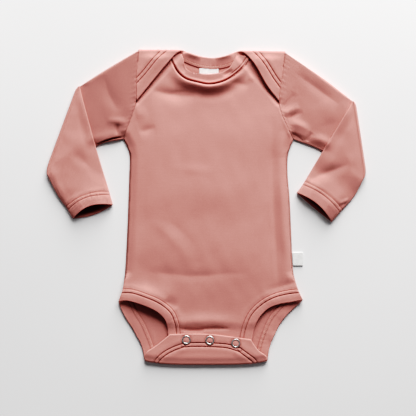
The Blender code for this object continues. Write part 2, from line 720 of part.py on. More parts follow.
def add_back(look, neck, legs, crotch):
    """The back panel with its two laps and its crotch flap, inside its hems."""
    sides, laps = {}, {}
    for side in ("left", "right"):
        top = SHOULDER_FOLD.y1 if side == "left" else SHOULDER_FOLD.y0
        sides[side] = body_side(side, top)
        laps[side] = unfolded(sides[side][:2], SHOULDER_FOLD)[::-1]
    outline = np.vstack([
        laps["left"],
        sides["left"],
        legs["left"][:, 2:],
        crotch[1:-1, 2:],
        legs["right"][::-1, 2:],
        sides["right"][::-1],
        laps["right"][::-1],
        neck[::-1, 2:],
    ])
    add_cloth("back_panel", outline, CLOTH, lay_back, look, BACK_GRID,
              (SHOULDER_FOLD, CROTCH_FOLD))


def lay_at(level):
    """Placing of a trim that lies flat at a height."""
    def lay(points, height):
        return np.column_stack([points, level + height])
    return lay


def add_snap(name, centre, look):
    """An open ring snap, pressed onto the flap's hem."""
    wide = (SNAP_OUTER - SNAP_INNER) / 4
    middle = (SNAP_OUTER + SNAP_INNER) / 4
    low = 2 * FOLD_AXIS + GAP
    x, y = bowed(np.array([centre]))[0]
    rings = []
    for facet in range(SNAP_FACETS):
        turn = 2 * math.pi * facet / SNAP_FACETS
        rings.append([
            (x + (middle + wide * out) * math.cos(turn), y + (middle + wide * out) * math.sin(turn),
             low + SNAP_HEIGHT * up)
            for out, up in SNAP_PROFILE
        ])
    mesh = bmesh.new()
    join_rings(mesh, rings, closed=True)
    add_object(name, mesh, look)


def build():
    """Build the whole garment."""
    for old in list(bpy.data.objects):
        bpy.data.objects.remove(old, do_unlink=True)
    rose = material("dusty_rose_jersey", (0.62, 0.29, 0.25))
    rose_hem = material("dusty_rose_hem", (0.58, 0.26, 0.22))
    white = material("white_tape", (0.85, 0.85, 0.84))
    metal = material("snap_metal", (0.72, 0.70, 0.68), 0.3, 1.0)

    front_neck, back_neck, crotch = (
        smooth_rows(table, HEM_STEPS) for table in (FRONT_NECK, BACK_NECK, CROTCH_END))
    front_legs = {
        "left": smooth_rows(FRONT_LEG_LEFT, HEM_STEPS),
        "right": smooth_rows(FRONT_LEG_RIGHT, HEM_STEPS),
    }
    back_legs = {
        "left": smooth_rows(BACK_LEG_LEFT, HEM_STEPS),
        "right": smooth_rows(BACK_LEG_RIGHT, HEM_STEPS),
    }

    add_back(rose, back_neck, back_legs, crotch)
    add_front(rose, front_neck, front_legs)
    for side in ("left", "right"):
        add_sleeve(side, rose)
        add_cloth(f"leg_hem_front_{side}", hem_outline(front_legs[side]), HEM, lay_front, rose_hem)
        add_cloth(f"leg_hem_back_{side}", hem_outline(back_legs[side]), HEM, lay_back, rose_hem,
                  folds=(CROTCH_FOLD,))
    add_cloth("front_neck_hem", hem_outline(front_neck), HEM, lay_front, rose_hem)
    add_cloth("back_neck_hem", hem_outline(back_neck), HEM, lay_back, rose_hem,
              folds=(SHOULDER_FOLD,))
    inward = 2 * GAP * np.array([1.0, 0.0, 1.0, 0.0])
    crotch[0] += inward
    crotch[-1] -= inward
    add_cloth("crotch_hem", hem_outline(crotch), HEM, lay_back, rose_hem)
    for number, centre in enumerate(SNAP_CENTRES, start=1):
        add_snap(f"snap_ring_{number}", centre, metal)
    add_cloth("neck_label", np.array(NECK_LABEL), LABEL_THICKNESS, lay_at(CLOTH + GAP), white)
    add_cloth("side_label", np.array(SIDE_LABEL), TAB_THICKNESS, lay_at(SIDE_LABEL_REST), white)


build()
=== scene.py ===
"""Looks of the baby bodysuit: cloth shells with turned hems, twin stitching, snaps and labels.

Tables are in millimetres, in the garment's own plan, and every mesh is made in metres around
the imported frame.  The shells follow the same sections as the solids, with finer relief.
"""
import math
from collections import namedtuple

import bmesh
import bpy
import numpy as np
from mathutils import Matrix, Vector, geometry


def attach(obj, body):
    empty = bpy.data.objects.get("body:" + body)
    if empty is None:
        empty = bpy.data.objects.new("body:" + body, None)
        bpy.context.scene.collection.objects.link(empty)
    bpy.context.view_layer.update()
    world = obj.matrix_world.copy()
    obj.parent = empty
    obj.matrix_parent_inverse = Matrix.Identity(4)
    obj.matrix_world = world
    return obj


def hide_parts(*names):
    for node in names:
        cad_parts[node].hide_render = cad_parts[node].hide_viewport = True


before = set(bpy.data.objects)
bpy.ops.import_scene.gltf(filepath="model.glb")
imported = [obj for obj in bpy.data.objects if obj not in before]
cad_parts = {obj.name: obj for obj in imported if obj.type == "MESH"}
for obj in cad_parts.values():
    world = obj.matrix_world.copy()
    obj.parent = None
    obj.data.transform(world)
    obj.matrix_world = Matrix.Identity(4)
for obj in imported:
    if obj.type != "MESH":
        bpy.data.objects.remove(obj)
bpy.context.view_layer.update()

# --------------------------------------------------------------------------- sizes (mm)
MM = 0.001
ORIGIN = np.array([-0.25, -1.5, 0.0])
SIDES = ("left", "right")   # of the picture
OUTWARD = {"left": -1, "right": 1}
CLOTH = 1.1                # thickness of the jersey
HEM = 1.9                  # thickness of a turned hem
GAP = 0.3                  # air left between neighbouring pieces
SIDE_INSET = 1.3           # the front's edge lies this far inside the back's, by the side seam
EDGE_ROUND = 1.0           # a free edge of cloth is this round
SIDE_ROUND = 2.2           # and a side of the front this
BACK_ROUND = 2.0           # a side of the back, and one less where it is turned over

# The upper layer of body and sleeves
INNER_RISE = 0.9           # the front lies this much higher inside than at its side seams
SEAM_RISE = 9.0            # width over which it rises
PUFF = 2.2                 # how far the upper layer stands off inside its edges
PUFF_REACH = {"left": 12.0, "right": 9.0}          # width over which it comes up to that
CROWN_SIDES = {"left": (-98.0, -36.0), "right": (106.0, 86.0)}     # from no crown to all of it
CROWN_REACH = 26.0         # the crown dies out over this width at the side seams
CREASE_MARGIN = 12.0       # creases die out over this width at the sides
PINCH_MARGIN = 3.5         # and pinches over this
SLACK = 0.34               # height of the body's broad waves
RIPPLE = 0.10              # and of its small ones

# The folds of laps and flap
FOLD_AXIS = 3.0            # height of the axis that the laps and the flap turn about
FOLD_TURN = math.pi * (FOLD_AXIS - CLOTH / 2)      # cloth taken up by the half turn
FOLD_STEPS = 18            # facets round a fold
CROTCH_BOW = 5.0           # how far the ends of the crotch fold curve up
CROTCH_HALF = 74.0         # half the width of the crotch fold
CROTCH_BOW_TOP = -150.0    # the bow has died out at this height
CROTCH_BOW_LOW = -184.0
CROTCH_PRESS = 0.14        # share by which the fold is pressed flatter than a half circle
CROTCH_PRESS_REACH = 7.0   # that dies out over this width past the fold
LAP_RISE = {"left": 0.9, "right": 2.4}             # how far a lap's free edge stands up
LAP_RISE_REACH = 16.0      # width over which it does so
LAP_HUMP = 2.2             # the laps are slack just past the shoulder fold
LAP_CLEAR = 0.4            # and clear of what they lie on by this
LAP_MARGIN = 6.0           # creases die out over this width beside the laps
LAP_END = 130.0            # the laps reach down the armholes to about this height
LAP_CUT = 36.0             # cloth of a lap that is cut above the armhole's second row
FLAP_ARCH = 0.5            # how far the flap stands up between its snaps and its fold
FLAP_TOP = -150.0
FLAP_MARGIN = 12.0         # creases die out over this height above the flap

# The free edges of the front
LEG_LIFT = {"left": 4.0, "right": 0.4}             # how far a leg edge stands off the back
LEG_LIFT_REACH = 26.0      # width over which it comes up
LEG_LIFT_END = 0.74        # share of the edge, from the side seam, over which it is lifted
NECK_LIFT = 0.8
NECK_LIFT_REACH = 9.0
NECK_RIDGE = 5.6           # the body stands up beside the neck band's seam
RIDGE_OFFSET = 4.6         # its crest lies this far outside the seam
RIDGE_INNER = 3.9          # half width of the ridge towards the band
RIDGE_OUTER = 5.2          # and towards the chest
NECK_GROOVE = 3.4          # depth of the groove between the band and the ridge
GROOVE_OFFSET = 1.1
GROOVE_FADE = 2.2          # how fast it deepens from its ends
NECK_HOLLOW = 1.3          # the chest dips below the ridge
HOLLOW_OFFSET = 15.5
HOLLOW_HALF = 5.0
NECK_ENDS = (3.0, 16.0)    # the band lies low on the back over this much of its ends

# Sleeves
SLEEVE_TOP = {"left": 186.0, "right": 181.4}       # height at which each sleeve head starts
SLEEVE_ROLL = {"left": 2.4, "right": 1.4}          # the folded top edge stands this much higher
TOP_REACH = 3.0            # a sleeve's pressed top edge is this round
SHOULDER_AIR = 4.2         # height inside the sleeve head, beside the laps
SHOULDER_REACH = 24.0      # how far that height carries on into the sleeve
LOW_SLACK = 0.8            # share of the puff that is missing by a sleeve's low edge
LOW_SLACK_REACH = 20.0     # width over which it comes back
ELBOW_MARGIN = 16.0        # both die out over this length by the elbow
ARMHOLE_MARGIN = 22.0      # and over this by the armhole
GATHERS = 19.0             # number of small gathers along the armhole's seam
GATHER_DEPTH = 0.16
GATHER_REACH = 6.0
ARMHOLE_DIP = 0.6          # the sleeve dips into the armhole's seam
ARMHOLE_DIP_REACH = 1.6
ELBOW_AXIS = 3.0           # height of the axis that a sleeve turns about
ELBOW_TURNS = 20           # sections round the elbow's fold
ELBOW_CORNER = 1.5         # how far the corner of the folded elbow is rounded off
FOLD_END = 9.0             # the elbow's fold tapers off over this length at its ends
LAYER_GAP = 0.6            # air between the two halves of a folded sleeve
PRESS = 0.8                # share by which a forearm flattens the sleeve that it lies on
PRESS_REACH = 12.0         # run over which that sets in
FOREARM_FALL = {"left": 56.0, "right": 26.0}       # run over which it comes down to the plane
FOREARM_PUFF = 1.4         # how far the forearm's upper layer stands off inside its edges
FOREARM_SWELL = {"left": 1.7, "right": 1.4}        # it fills out by this as it comes down
FOREARM_REACH = 18.0       # width over which it comes up to that
FOREARM_EDGE = 4.0         # its creases die out over this width
SIDE_FOLD = 1.7            # a sleeve's two long edges are this round
CUFF_REACH = 50.0          # how far a cuff's mouth opens the forearm
CUFF_SHIFT_REACH = 55.0    # and how far back its faces are pushed along
CUFF_STEP = 0.5            # a cuff's hem is rolled flatter than the others
CUFF_WIDTH = 60.0          # for the puckers along it
CUFF_LINE_PAINTED_SHADE = (1.3, 0.5)     # shares of painted shade on a cuff's needle lines, on the sleeve and on the hem
MOUTH_SHADE = 1.5          # painted shade inside a sleeve, deepest past the cuff's mouth
MOUTH_ROUND = 0.95         # the rim of a cuff's mouth is this round
Mouth = namedtuple("Mouth", "set_back reach_out lift")      # of its low and high face
MOUTHS = {"left": Mouth(7.0, 3.8, 4.6), "right": Mouth(4.6, 0.6, 4.2)}
SLEEVE_PAINTED_LIGHT = {"left": (0.77, 1.0), "right": (0.90, 0.96)}  # painted shade: share of colour kept on a sleeve's upper half and on its forearm, darker on the left
# The left sleeve's two layers part in a narrow slit beside the armpit.
UNDERARM = [(-131.5, 73.2), (-122.0, 77.2), (-112.5, 80.2), (-105.0, 81.6), (-100.5, 82.2)]
UNDERARM_SWELL = 1.8       # both layers stand up beside the slit
UNDERARM_REACH = 6.0
UNDERARM_DEPTH = 2.6
UNDERARM_HALF = 0.85       # half width of the slit
UNDERARM_PAINTED_SHADE = (1.5, 0.9)  # depth and half width of the painted shade along it

# Sewing
TWIN_HALF = 2.2            # half the distance between the two needle lines
GROOVE = 1.0               # depth that a stitch line pulls into the cloth
GROOVE_HALF = 0.54
BACK_LINE_PAINTED_SHADE = 0.72           # painted shade on the back's needle lines, lighter than on the front's
BAND_SEAM_PAINTED_SHADE = 1.6            # painted shade on the neck band's plain seam, darker
BAND_SEAM = (0.9, 0.50)    # place of that painted shade outside the seam line, and its half width
NECK_SEWN = (24.0, 34.0)   # the twin needle lines of the neck band show to the right of here
THREAD_START = 27.0        # and their threads to the right of here
NEAR_SEAM = 14.0           # a hem shapes the cloth up to this far from its seam
PUCKER = 0.13
PUCKER_PITCH = 6.3
HEM_STEP = 0.30            # the cloth steps up where the hem's second layer starts
STITCH_PITCH = 3.1
STITCH_LENGTH = 2.6
LOOP_PITCH = 1.9
THREAD = 0.46
SHORTEST_RUN = 12          # a needle line of fewer points than this has no stitches
NEEDLE_SPACING = 0.5       # points of a needle line are this far apart

# Meshes
OUTLINE_STEP = 1.1         # spacing of the points of a cut piece's outline
FRONT_GRID = 1.75          # spacing of the points inside the front
BACK_GRID = 1.9
HEM_STEP_ALONG = 1.3       # spacing of a hem's cross sections

# Snaps
SNAP_OUTER = 10.8
SNAP_INNER = 6.9
SNAP_HEIGHT = 1.1
SNAP_DENT = 0.10           # depth of the dents where a snap's five teeth were pressed
SNAP_TEETH = 5
SNAP_PRESS = 5.9           # radius of the ring in which a snap presses the cloth down, and of a ring of painted shade
SNAP_SINK = 0.1            # and how deep it sits in the cloth
TAPE_ROUND = 0.45          # a label's edges are this round

Fold = namedtuple("Fold", "x0 y0 x1 y1")
SHOULDER_FOLD = Fold(96.5, 182.0, -80.5, 184.2)
CROTCH_FOLD = Fold(-79.0, -187.2, 80.0, -187.2)

Edge = namedtuple("Edge", "y left right")
ARMHOLE = [
    Edge(186.8, -81.0, 95.6),
    Edge(165.0, -82.5, 92.5),
    Edge(148.0, -83.5, 89.7),
    Edge(133.0, -83.2, 88.0),
    Edge(122.0, -84.2, 87.6),
    Edge(111.0, -88.0, 90.0),
    Edge(99.5, -92.0, 95.0),
    Edge(89.0, -96.0, 100.0),
    Edge(80.0, -99.0, 105.0),
]
SIDE_SEAM = [
    Edge(80.0, -99.0, 105.0),
    Edge(69.0, -93.5, 100.5),
    Edge(57.0, -91.5, 98.0),
    Edge(37.0, -92.0, 98.0),
    Edge(7.0, -93.0, 100.5),
    Edge(-38.0, -94.8, 102.5),
    Edge(-77.0, -97.0, 104.5),
    Edge(-101.5, -100.0, 110.5),
]
Section = namedtuple("Section", "edge_x edge_y seam_x seam_y")
FRONT_NECK = [
    Section(-29.0, 181.8, -43.0, 181.8),
    Section(-26.5, 174.5, -38.5, 171.0),
    Section(-24.5, 165.5, -32.5, 160.5),
    Section(-18.0, 160.0, -23.5, 153.0),
    Section(-7.0, 158.0, -10.5, 149.0),
    Section(5.0, 157.5, 4.5, 146.5),
    Section(17.5, 159.5, 20.5, 150.0),
    Section(27.0, 164.5, 34.5, 158.5),
    Section(32.5, 172.5, 44.0, 167.5),
    Section(36.5, 180.0, 52.0, 180.0),
]
FRONT_LEG_LEFT = [
    Section(-105.0, -114.5, -100.0, -101.5),
    Section(-93.0, -113.5, -87.0, -102.0),
    Section(-76.5, -118.0, -71.0, -107.0),
    Section(-61.5, -124.5, -54.5, -114.5),
    Section(-51.0, -133.5, -41.0, -126.0),
    Section(-46.5, -144.5, -35.0, -140.0),
    Section(-45.5, -158.0, -33.0, -155.5),
    Section(-45.0, -172.5, -32.5, -172.5),
]
FRONT_LEG_RIGHT = [
    Section(116.0, -112.5, 110.5, -101.5),
    Section(100.0, -115.5, 98.0, -103.0),
    Section(84.5, -118.5, 82.0, -107.0),
    Section(73.0, -124.0, 67.5, -114.5),
    Section(64.0, -133.5, 54.5, -126.5),
    Section(58.5, -144.5, 47.5, -139.5),
    Section(55.5, -159.0, 43.0, -156.0),
    Section(54.5, -172.5, 42.0, -172.5),
]
BACK_LEG_LEFT = [
    Section(-105.0, -114.5, -100.0, -101.5),
    Section(-101.5, -124.5, -90.5, -114.5),
    Section(-95.0, -136.5, -84.0, -128.0),
    Section(-86.5, -150.0, -75.0, -143.0),
    Section(-80.0, -164.5, -68.0, -160.5),
    Section(-76.0, -177.5, -63.5, -175.5),
    Section(-74.0, -189.0, -60.5, -189.5),
    Section(-71.0, -203.5, -57.0, -197.0),
    Section(-60.5, -213.6, -49.0, -205.0),
    Section(-51.5, -221.5, -39.0, -211.0),
    Section(-43.0, -229.1, -27.5, -215.6),
]
BACK_LEG_RIGHT = [
    Section(116.0, -112.5, 110.5, -101.5),
    Section(107.0, -121.5, 97.5, -112.5),
    Section(96.5, -131.5, 86.5, -123.5),
    Section(87.5, -144.0, 76.0, -137.0),
    Section(81.5, -157.0, 69.5, -152.0),
    Section(77.0, -170.5, 65.0, -166.5),
    Section(74.5, -184.0, 61.5, -182.5),
    Section(72.5, -197.5, 58.5, -193.5),
    Section(62.5, -208.0, 50.5, -201.5),
    Section(53.5, -222.6, 40.0, -210.1),
]
CROTCH_END = [
    Section(-43.0, -229.1, -27.5, -215.6),
    Section(-19.0, -229.6, -14.5, -216.4),
    Section(5.0, -229.1, 5.0, -216.1),
    Section(29.0, -226.3, 25.0, -214.6),
    Section(53.5, -222.6, 40.0, -210.1),
]
# Height of the body's crown down the middle, above the level of its edges
Crown = namedtuple("Crown", "y rise")
BODY_CROWN = [
    Crown(160.0, 0.0),
    Crown(112.0, 1.6),
    Crown(80.0, 3.0),
    Crown(40.0, 3.5),
    Crown(-10.0, 3.3),
    Crown(-50.0, 2.8),
    Crown(-75.0, 1.9),
    Crown(-100.0, 0.5),
    Crown(-125.0, -0.9),
    Crown(-150.0, -0.8),
]
BACK_NECK = [
    Section(-81.1, 250.4, -81.9, 226.6),
    Section(-61.5, 225.2, -72.6, 216.0),
    Section(-45.5, 205.0, -56.7, 196.0),
    Section(-36.0, 194.0, -44.5, 186.0),
    Section(-26.0, 187.0, -33.0, 179.0),
    Section(-17.5, 182.5, -23.0, 173.0),
    Section(-5.0, 179.0, -8.0, 167.5),
    Section(8.5, 177.5, 8.5, 165.5),
    Section(21.5, 179.3, 25.0, 168.0),
    Section(31.5, 183.2, 38.0, 174.0),
    Section(41.5, 188.2, 50.0, 181.5),
    Section(51.0, 195.0, 61.5, 190.0),
    Section(60.5, 207.0, 71.5, 201.5),
    Section(73.0, 228.0, 83.0, 218.5),
    Section(88.5, 247.0, 89.6, 227.0),
]
Cross = namedtuple("Cross", "top_x top_y low_x low_y")
Sleeve = namedtuple("Sleeve", "upper elbow fore hem cuff")
SLEEVES = {
    "left": Sleeve(
        upper=Cross(-117.0, 165.0, -132.0, 71.5),
        elbow=Cross(-151.5, 143.5, -191.0, 37.0),
        fore=Cross(-132.0, 72.0, -176.5, 11.0),
        hem=Cross(-115.5, 15.5, -166.5, -3.0),
        cuff=Cross(-111.5, 1.5, -159.5, -15.0),
    ),
    "right": Sleeve(
        upper=Cross(137.0, 155.0, 143.0, 64.0),
        elbow=Cross(176.0, 125.5, 190.0, 33.0),
        fore=Cross(142.5, 70.5, 177.5, 11.5),
        hem=Cross(117.0, 27.5, 162.0, -6.0),
        cuff=Cross(108.5, 16.0, 150.5, -19.0),
    ),
}

# Ridges (rise above 0) and troughs along a line whose middle is pushed aside by bend.  A
# crease is deepest at its peak, a share of the way along, and dies out towards its ends.
Crease = namedtuple("Crease", "x0 y0 x1 y1 bend half_width rise peak")
BODY_CREASES = [
    Crease(-66.0, 138.5, -12.0, 131.5, -2.0, 7.0, -3.5, 0.6),    # hollow below the neck's left
    Crease(-44.0, 135.5, -22.0, 136.5, 0.0, 1.6, -0.8, 0.5),
    Crease(26.0, 148.0, 52.0, 143.0, 1.0, 5.0, -1.4, 0.5),       # and its right
    Crease(50.0, 154.0, 58.0, 152.0, 0.0, 4.5, 0.9, 0.5),
    Crease(72.0, 108.0, 80.0, -112.0, -3.0, 15.0, -1.6, 0.5),    # trough by the right side seam
    Crease(79.0, 108.0, 88.0, -112.0, -3.0, 6.0, -2.2, 0.5),
    Crease(-80.0, 88.0, -60.0, 94.0, 0.0, 5.5, -1.5, 0.4),       # dimple by the left armpit
    Crease(-84.0, 110.0, -70.0, 112.0, 0.0, 7.0, 0.8, 0.3),
    Crease(-66.0, -16.0, -16.0, -68.0, 3.0, 6.0, 0.4, 0.4),      # slack across the belly
    Crease(-50.0, -14.0, -6.0, -58.0, 3.0, 6.0, -0.4, 0.4),
    Crease(-38.0, 44.0, 12.0, 40.0, 1.0, 6.0, 0.4, 0.5),
    Crease(-92.0, -102.0, -34.0, -110.0, 2.0, 10.0, 2.0, 0.4),   # left hip
    Crease(-72.0, -78.0, 14.0, -84.0, -1.5, 7.0, -0.9, 0.35),
    Crease(-30.0, -86.0, 56.0, -80.0, 1.5, 5.0, -0.5, 0.4),
    Crease(-50.0, -112.0, -34.0, -122.0, 0.0, 5.0, -1.6, 0.4),
    Crease(-88.0, 176.0, -88.5, 116.0, 0.0, 4.5, -1.6, 0.5),     # beside the left armhole
    Crease(-122.0, 156.0, -104.0, 112.0, -3.0, 7.0, -1.6, 0.5),  # trough along the left arm
    Crease(106.0, 160.0, 160.0, 120.0, 0.0, 6.0, -1.6, 0.5),     # trough along the right arm's top
    Crease(136.0, 124.0, 148.0, 98.0, 2.0, 14.0, 0.9, 0.5),
]
PINCHES = [
    Crease(92.5, 90.0, 101.0, -104.0, -3.0, 6.5, 3.2, 0.5),      # beside the right side seam
    Crease(85.2, 120.0, 101.5, 80.5, 1.0, 2.0, 0.9, 0.6),        # beside the right armhole
    Crease(-119.0, 101.0, -94.0, 98.0, 2.0, 4.0, 1.4, 0.6),      # left armpit
    Crease(-105.0, 98.0, -106.0, 85.0, -1.0, 2.2, -2.0, 0.5),
    Crease(90.0, 116.0, 106.0, 135.0, 0.0, 4.5, -1.8, 0.3),      # right armpit
    Crease(92.0, 109.0, 111.0, 119.5, 0.0, 4.0, 1.8, 0.3),
    Crease(98.0, 104.5, 115.0, 113.0, 0.0, 3.6, -1.6, 0.3),
    Crease(101.0, 100.0, 124.0, 89.0, 1.5, 4.5, 2.0, 0.4),
    Crease(102.0, 87.5, 114.0, 75.5, 1.0, 2.2, -2.6, 0.6),
    Crease(120.5, 77.0, 126.5, 88.0, 0.5, 2.2, -2.0, 0.4),
    Crease(129.0, 82.0, 150.0, 73.0, 1.0, 5.0, 1.4, 0.4),
    Crease(70.0, -104.0, 109.0, -90.0, 0.0, 7.0, -1.7, 0.65),    # right hip
    Crease(-38.0, -139.0, 38.0, -138.0, 1.5, 6.5, 1.4, 0.45),    # above the flap
    Crease(-32.0, -147.0, -2.0, -149.0, -0.8, 1.5, -2.6, 0.7),
    Crease(-8.0, -147.6, 30.0, -147.0, 0.8, 1.3, -2.2, 0.3),
]
FOREARM_CREASES = [
    Crease(-156.0, 100.0, -150.0, 10.0, 0.0, 22.0, 0.8, 0.5),
    Crease(157.0, 90.0, 134.0, 12.0, 0.0, 14.0, 1.6, 0.5),
    Crease(-160.0, 62.0, -132.0, 36.0, 3.0, 7.0, -1.0, 0.5),
]
FOREARM_PINCHES = [
    Crease(-187.5, 50.0, -161.0, -3.0, -1.5, 5.0, 1.1, 0.5),     # left forearm's outer edge
    Crease(122.0, 30.0, 172.0, 50.0, 1.0, 6.5, -3.0, 0.4),
    Crease(158.0, 1.0, 172.0, 8.0, 0.0, 2.4, 1.0, 0.6),
    Crease(155.0, -3.5, 168.0, 4.0, 0.0, 1.8, -1.0, 0.6),
]
LAP_EDGES = [((-83.0, 125.4), (-28.0, 186.0)), ((36.0, 184.0), (87.0, 124.4))]
LAP_OUTLINES = [
    [(-83.0, 125.4), (-28.0, 186.0), (-81.0, 187.0)],
    [(36.0, 184.0), (95.0, 187.0), (87.0, 124.4)],
]
SNAP_CENTRES = [(-23.5, -160.0), (4.5, -160.5), (35.5, -164.0)]
BAND_CREASES = [
    Crease(-26.0, 184.5, -5.0, 177.0, 0.0, 3.0, 2.2, 0.5),       # the back neck band's upper rim
    Crease(11.0, 176.6, 33.0, 182.0, 0.0, 3.0, 2.2, 0.5),
]
BAND_DIMPLES = [
    Crease(-27.0, 169.0, -25.5, 159.0, 0.0, 1.8, -1.2, 0.5),     # where the front band eases round
    Crease(20.0, 155.5, 32.5, 162.0, 0.0, 2.6, -2.0, 0.5),
]
# Low swells beside a hem's seam, at a place on the hem's side (above 0) or the panel's
Swell = namedtuple("Swell", "place half_width rise")
HEM_SWELLS = [Swell(6.5, 3.0, 0.22), Swell(-5.6, 2.6, 0.30)]
BAND_SWELLS = [Swell(1.4, 1.3, 0.35), Swell(-3.2, 1.2, 0.50)]
NECK_LABEL = [(-8.0, 165.0), (-8.0, 150.5), (15.0, 150.5), (15.0, 165.3)]
SIDE_LABEL = [(103.4, -55.5), (104.3, -71.5), (116.3, -71.5), (116.3, -55.5)]


# ------------------------------------------------------------------------ plane geometry
def catmull_rom(before, start, end, after, t):
    """A place on the smooth curve from start to end."""
    return 0.5 * (
        2 * start + (end - before) * t
        + (2 * before - 5 * start + 4 * end - after) * t ** 2
        + (3 * start - before - 3 * end + after) * t ** 3
    )


def run_out(table):
    """A table with one more row past each of its ends, in line with it."""
    return np.concatenate([[2 * table[0] - table[1]], table, [2 * table[-1] - table[-2]]])


def smooth_rows(rows, steps):
    """Smooth curve through the rows of a table, with steps points from row to row."""
    table = np.array(rows, dtype=float)
    padded = run_out(table)
    points = []
    for rows_here in zip(padded, padded[1:], padded[2:], padded[3:]):
        points.extend(catmull_rom(*rows_here, step / steps) for step in range(steps))
    points.append(table[-1])
    return np.array(points)


def step_lengths(line):
    """Length of each step of a line in the plane."""
    return np.hypot(*(line[1:] - line[:-1]).T)


def places_along(line):
    """Distance of each point of a line from its start."""
    return np.concatenate([[0.0], np.cumsum(step_lengths(line))])


def evenly(line, spacing):
    """A line resampled to nearly even spacing; any number of columns."""
    line = np.array(line, dtype=float)
    along = places_along(line[:, :2])
    count = max(2, int(round(along[-1] / spacing)) + 1)
    wanted = np.linspace(0.0, along[-1], count)
    return np.column_stack([np.interp(wanted, along, column) for column in line.T])


def ramp(value, low, high):
    """Rise smoothly from 0 at low to 1 at high."""
    t = np.clip((value - low) / (high - low), 0.0, 1.0)
    return t * t * (3 - 2 * t)


def rounded(to_edge, radius):
    """Share of full height at a distance from a rounded edge."""
    t = np.clip(to_edge / radius, 0.0, 1.0)
    return np.sqrt(np.maximum(1 - (1 - t) ** 2, 0.0))


def nearest(points, line):
    """Distance of each point to a polyline, and how far along it the nearest place is."""
    line = np.array(line, dtype=float)
    start = line[:-1]
    run = line[1:] - start
    length = np.hypot(*run.T)
    before = places_along(line)[:-1]
    best = np.full(len(points), 1e9)
    where = np.zeros(len(points))
    for k in range(len(start)):
        offset = points - start[k]
        t = np.clip(offset @ run[k] / length[k] ** 2, 0.0, 1.0)
        gap = np.hypot(*(offset - t[:, None] * run[k]).T)
        closer = gap < best
        best = np.where(closer, gap, best)
        where = np.where(closer, before[k] + t * length[k], where)
    return best, where


def nearer(points, lines):
    """Distance of each point to the nearer of the left and the right line."""
    return np.minimum(nearest(points, lines["left"])[0], nearest(points, lines["right"])[0])


def side_of(points, start, end):
    """Signed distance of each point to a line, positive on its right."""
    run = np.array(end) - np.array(start)
    offset = points - np.array(start)
    return (offset[:, 0] * run[1] - offset[:, 1] * run[0]) / np.hypot(*run)


def inside(points, outline):
    """Which points lie inside a closed outline."""
    x, y = points.T
    odd = np.zeros(len(points), dtype=bool)
    for (x0, y0), (x1, y1) in zip(outline, np.roll(outline, -1, axis=0)):
        if y0 == y1:
            continue
        crosses = (y0 > y) != (y1 > y)
        odd ^= crosses & (x < x0 + (y - y0) * (x1 - x0) / (y1 - y0))
    return odd


def beyond(points, fold):
    """How far each point lies beyond a fold line, before folding."""
    return side_of(points, (fold.x0, fold.y0), (fold.x1, fold.y1))


def fold_normal(fold):
    """Unit vector across a fold line, towards the cloth that turns over."""
    run = np.array([fold.y1 - fold.y0, fold.x0 - fold.x1])
    return run / np.hypot(*run)


def unfolded(points, fold):
    """Where cloth that lies folded over was cut, before folding."""
    inner = -beyond(points, fold)
    return points + (2 * inner + FOLD_TURN)[:, None] * fold_normal(fold)


def crease_height(points, creases):
    """Height that a table of creases adds at each point."""
    total = np.zeros(len(points))
    for crease in creases:
        start = np.array([crease.x0, crease.y0])
        end = np.array([crease.x1, crease.y1])
        run = end - start
        across = np.array([-run[1], run[0]]) / np.hypot(*run)
        middle = (start + end) / 2 + crease.bend * across
        line = smooth_rows([start, middle, end], 3)
        margin = 3 * crease.half_width
        close = np.all((points > line.min(0) - margin) & (points < line.max(0) + margin), axis=1)
        if close.any():
            gap, along = nearest(points[close], line)
            share = along / step_lengths(line).sum()
            reach = np.where(share > crease.peak, 1 - crease.peak, crease.peak)
            fading = 1 - ((share - crease.peak) / reach) ** 2
            power = 2.0 if crease.rise > 0 else 1.4
            total[close] += crease.rise * fading * np.exp(-(gap / crease.half_width) ** power)
    return total


def waves(points, reach, seed):
    """Broad soft undulation of limp cloth, between about -1 and 1."""
    rng = np.random.default_rng(seed)
    total = np.zeros(len(points))
    for octave in range(9):
        angle = rng.uniform(0, math.pi)
        length = reach * rng.uniform(0.55, 1.7)
        phase = rng.uniform(0, 2 * math.pi, 2)
        drift = 6.0 * np.sin(points[:, 0] / 47 + phase[0])
        drift += 6.0 * np.sin(points[:, 1] / 39 + phase[1])
        along = points @ (math.cos(angle), math.sin(angle))
        total += np.sin(2 * math.pi * (along + drift) / length)
    return total / 3.0


# ------------------------------------------------------------------------ hems and seams
class Hem:
    """A turned hem: its free edge, its seam and the relief that twin stitching gives it."""

    def __init__(self, table, overrun=0.0):
        self.rows = evenly_sections(smooth_rows(table, 8), HEM_STEP_ALONG)
        self.edge = self.rows[:, :2]
        self.seam = self.rows[:, 2:]
        self.width = np.hypot(*(self.edge - self.seam).T)
        self.overrun = overrun
        self.long_edge = longer(self.edge, overrun)
        self.long_seam = longer(self.seam, overrun)
        self.outline = np.vstack([self.long_seam, self.long_edge[::-1]])

    def line(self, distance):
        """The line at a distance from the seam, positive towards the free edge."""
        share = distance / self.width
        return self.seam + share[:, None] * (self.edge - self.seam)

    def measure(self, points):
        """Distance to the free edge, signed distance to the seam and place along the seam."""
        to_edge, _ = nearest(points, self.long_edge)
        to_seam, along = nearest(points, self.long_seam)
        signed = np.where(inside(points, self.outline), to_seam, -to_seam)
        return to_edge, signed, along - self.overrun


def longer(line, overrun):
    """A line drawn out straight past both of its ends."""
    if not overrun:
        return line
    ends = []
    for last, before in ((line[0], line[1]), (line[-1], line[-2])):
        run = last - before
        ends.append(last + overrun * run / np.hypot(*run))
    return np.vstack([ends[:1], line, ends[1:]])


def evenly_sections(rows, spacing):
    """Hem sections resampled to even spacing along the middle of the hem."""
    along = places_along((rows[:, :2] + rows[:, 2:]) / 2)
    wanted = np.linspace(0.0, along[-1], max(3, int(along[-1] / spacing)))
    return np.column_stack([np.interp(wanted, along, column) for column in rows.T])


